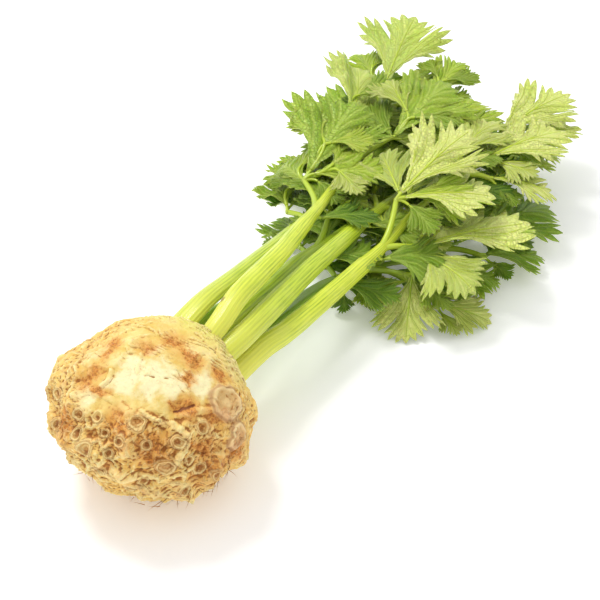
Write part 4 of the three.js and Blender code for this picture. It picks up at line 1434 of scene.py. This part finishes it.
# %% Tubes along paths
def tube_tree(material):
    g = Graph("tubes", {"Sides": "NodeSocketInt"})
    curve = g.add("GeometryNodeMeshToCurve", {"Mesh": g.given("Geometry")})[0]
    ring_sockets = {"Resolution": g.given("Sides"), "Radius": 1.0}
    ring = g.add("GeometryNodeCurvePrimitiveCircle", ring_sockets)[0]
    thick = g.add("GeometryNodeInputNamedAttribute", {"Name": "thickness"}, data_type="FLOAT")[0]
    sockets = {"Curve": curve, "Profile Curve": ring, "Scale": thick, "Fill Caps": True}
    tube = g.add("GeometryNodeCurveToMesh", sockets)[0]
    smooth = g.add("GeometryNodeSetShadeSmooth", {"Geometry": tube, "Shade Smooth": True})[0]
    return g.finish(smooth, material)


def tubes(name, paths, tree, tone):
    """One piece of tubes from a list of paths in mm with their radii."""
    points = np.concatenate([p for p, _ in paths]) * MM
    radii = np.concatenate([np.broadcast_to(r, len(p)) for p, r in paths]) * MM
    ends = np.cumsum([len(p) for p, _ in paths])
    edges = [(i, i + 1) for i in range(ends[-1] - 1) if i + 1 not in ends]
    mesh = bpy.data.meshes.new(name + " paths")
    mesh.from_pydata(points.tolist(), edges, [])
    mesh.attributes.new("thickness", "FLOAT", "POINT").data.foreach_set("value", radii.astype(np.float32))
    numbers = {"tone": tone, "rib": 0.7, "along": 200, "around": 0.5, "stemmy": 1, "back": 1}
    for key, value in numbers.items():
        layer = mesh.attributes.new(key, "FLOAT", "POINT")
        layer.data.foreach_set("value", np.full(len(points), value, np.float32))
    source = bpy.data.objects.new(name + " paths", mesh)
    bpy.context.scene.collection.objects.link(source)
    made = bpy.data.objects.new(name, apply_tree(source, tree, {"Sides": TUBE_SIDES}))
    bpy.data.objects.remove(source)
    bpy.context.scene.collection.objects.link(made)
    return made


# %% [markdown]
# ## The leaf's finish
# The upper side of a leaflet is a deep, slightly shiny green and its back is pale and dull. Both sides
# carry the net of veins, and a mottle of lighter and deeper green. The material works out its distance
# from each vein in the pattern's own coordinates, which were stored on the points, so the lines stay
# sharp at any mesh size.

# %% The leaf's material
leaf_skin, start, shader = new_material("leaflet", 0.5, 0.3, (0.0016, 0.0024, 0.0006))
px = start.attribute("px")
py = start.attribute("py")
back = start.attribute("back")
tone = start.attribute("tone")
spot = start.node("ShaderNodeCombineXYZ", {"X": px, "Y": py})


def far_from(a, b):
    """How far the pattern spot is from the line between two points."""
    length = math.hypot(b[0] - a[0], b[1] - a[1])
    ex, ey = (b[0] - a[0]) / length, (b[1] - a[1]) / length
    dx, dy = px - a[0], py - a[1]
    t = (dx * ex + dy * ey).math("MAXIMUM", dx * ex + dy * ey, 0.0)
    t = t.math("MINIMUM", t, length)
    fx, fy = dx - t * ex, dy - t * ey
    squares = fx * fx + fy * fy
    return squares.math("SQRT", squares)


nearest = py
for path in VEINS:
    for a, b in zip(path[:-1], path[1:]):
        nearest = nearest.math("MINIMUM", nearest, far_from(a, b))
midrib = py.step(0.03, 0.008)
vein = nearest.step(0.02, 0.004).math("MAXIMUM", nearest.step(0.02, 0.004), midrib)
net = start.node("ShaderNodeTexVoronoi", {"Vector": spot, "Scale": 34.0}, feature="DISTANCE_TO_EDGE")
net = net.step(0.1, 0.0)
mottle = start.noise(85, 5, 0.62)
broad = start.noise(18, 3, 0.5)
grain = start.noise(420, 3, 0.6)
# The tone sets how light a leaflet's green is; it is mostly painted light and shade.
face = tone.mix(colour("56800a"), colour("aacc28"))
face = (mottle.step(0.38, 0.62) * 0.7).mix(face, tone.mix(colour("3e6606"), colour("c8e040")))
face = (net * 0.3 + vein * 0.55).mix(face, tone.mix(colour("92b436"), colour("d8e86c")))
pale = tone.mix(colour("96b636"), colour("dcec74"))
pale = (mottle.step(0.35, 0.65) * 0.65).mix(pale, tone.mix(colour("7c9e2a"), colour("f0f79a")))
pale = (net * 0.25 + vein * 0.55).mix(pale, colour("e2eb8a"))
green = back.mix(face, pale)
green = (broad.step(0.52, 0.72) * 0.35).mix(green, back.mix(colour("a2c02e"), colour("d6e65e")))
start.tree.links.new(green.socket, shader.inputs["Base Color"])
rough = 0.42 + back * 0.2
start.tree.links.new(rough.socket, shader.inputs["Roughness"])
relief = nearest.step(0.0, 0.04) * 0.8 - net * 0.6 + grain * 0.4 + mottle * 1.2
bump = start.node("ShaderNodeBump", {"Height": relief, "Strength": 1.0, "Distance": 0.0014})
start.tree.links.new(bump.socket, shader.inputs["Normal"])

# %% [markdown]
# ## All the fronds
# Each frond becomes two pieces: its leaflets, and the branches, stems and veins that carry them. The
# table holds the large leaflets only. A real leaf has many small ones between them, so each large one
# gets one at either side and, unless its branch is bare, two lying on it. More stand along the
# rachis. They are placed by a rule with seeded chances, and a few near the heap's edge are left out.

# %% Build the fronds
OWN_SEED = 12
TUBE_SIDES = 8
SIDE_SHARE = 0.58  # the length of a side leaflet against the leaflet it stands beside
TOP_SHARE = 0.52  # and that of a small one lying on it
LOW_LENGTH = 40  # mm, of the leaflets between the branches
LOW_SPACING = 0.085  # the share of the route from one of those to the next
# How far below the point it grows from each kind of small leaflet starts, in mm, or above if negative.
SIDE_DROP = 3.5
TOP_DROP = -6
LOW_DROP = 5
# Branches with bare leaflets: nothing small lies on them.
CLEAN = {("2", 5), ("4", 4), ("4", 5)} | {(name, number) for name in "56" for number in range(8)}
# Small leaflets that haven't grown, by the leaf's name, where the heap's edge lies further in.
MISSING = {
    "1": {3, 4, 8, 9, 18, 19, 29},
    "2": {4, 8, 9, 13, 23, 24, 34, 42},
    "4": {25},
    "7": {4},
}
own = seeded(OWN_SEED)
tree = tube_tree(stalk_skin)


def leaflets_with_stems(leaf):
    """All leaflets of a frond, each with its fork and heading, and the branches' own paths."""
    grown, paths = [], []
    for number, arm in enumerate(leaf["branches"]):
        fork, heading, bent = fork_of(leaf, arm)
        if bent is not None:
            paths.append((bent, np.linspace(*BRANCH_RADII, len(bent))))
        arm_name = (leaf["name"], number)
        for one in arm["leaflets"]:
            one["turned"] = 1 if arm_name in BACKS_UP else 0
            # A leaflet's tone is painted light and shade, with a random spread; lit branches get the
            # lightest.
            tone = BRANCH_LIGHT_TONES.get(arm_name, leaf["tone"])
            one["tone"] = 1.0 if arm_name in LIT else tone - 0.2 + 0.4 * next(own)
            grown.append((one, fork, heading))
            along = one["tip"] - one["base"]
            for hand in (-1, 1):
                length = SIDE_SHARE * np.linalg.norm(along) * (0.85 + 0.3 * next(own))
                small = side_leaflet(one["base"], along, length, hand, SIDE_DROP, own)
                small["turned"] = one["turned"] if next(own) < 0.5 else 0
                # Side leaflets lie beside and below the large one and get a darker tone, as painted shade.
                small["tone"] = one["tone"] * (0.3 + 0.6 * next(own))
                grown.append((small, fork, heading))
                if arm_name not in CLEAN:
                    over = one["base"] + along * (0.2 + 0.15 * next(own))
                    length = TOP_SHARE * np.linalg.norm(along) * (0.8 + 0.4 * next(own))
                    small = side_leaflet(over, along, length, hand, TOP_DROP, own)
                    small["turned"] = 1 if next(own) < 0.25 else 0
                    small["tone"] = 0.45 + 0.55 * next(own)
                    grown.append((small, one["base"] + unit(along) * 3, unit(along)))
    for number, t in enumerate(np.arange(leaf["split"] + 0.05, 0.97, LOW_SPACING)):
        (start,), (heading,) = leaf["curve"].at(t)
        hand = 1 if number % 2 else -1
        length = LOW_LENGTH * (0.8 + 0.4 * next(own))
        small = side_leaflet(start, heading, length, hand, LOW_DROP, own)
        small["turned"] = 1 if next(own) < 0.2 else 0
        # Leaflets low along the rachis get darker tones, as painted shade.
        small["tone"] = leaf["tone"] * 0.7 * next(own)
        grown.append((small, start, heading))
    return grown, paths


for leaf in LEAVES:
    grown, paths = leaflets_with_stems(leaf)
    points, faces, numbers, count = [], [], [], 0
    for number, (one, fork, heading) in enumerate(grown):
        one["own"] = [2 * next(own) - 1 for _ in range(4)]
        if number in MISSING.get(leaf["name"], ()):
            continue
        one["frame"] = leaflet_frame(one)
        p, f, n = blade(one)
        points.append(p)
        faces.append(f + count)
        numbers.append(n)
        count += len(p)
        paths.append((stem_path(one, fork, heading), np.linspace(*STEM_RADII, STEM_STEPS)))
        paths.extend(vein_paths(one))
    joined = {key: np.concatenate([n[key] for n in numbers]) for key in numbers[0]}
    name = "leaflets_" + leaf["name"]
    piece = mesh_object(name, np.concatenate(points), np.concatenate(faces), leaf_skin, joined)
    hand_over(piece, "leaf", "frond_" + leaf["name"])
    stems = tubes("stems_" + leaf["name"], paths, tree, leaf["tone"])
    hand_over(stems, "stalk", "frond_" + leaf["name"])
    print("frond", leaf["name"], "has", len(faces), "leaflets,", len(piece.data.polygons), "triangles")
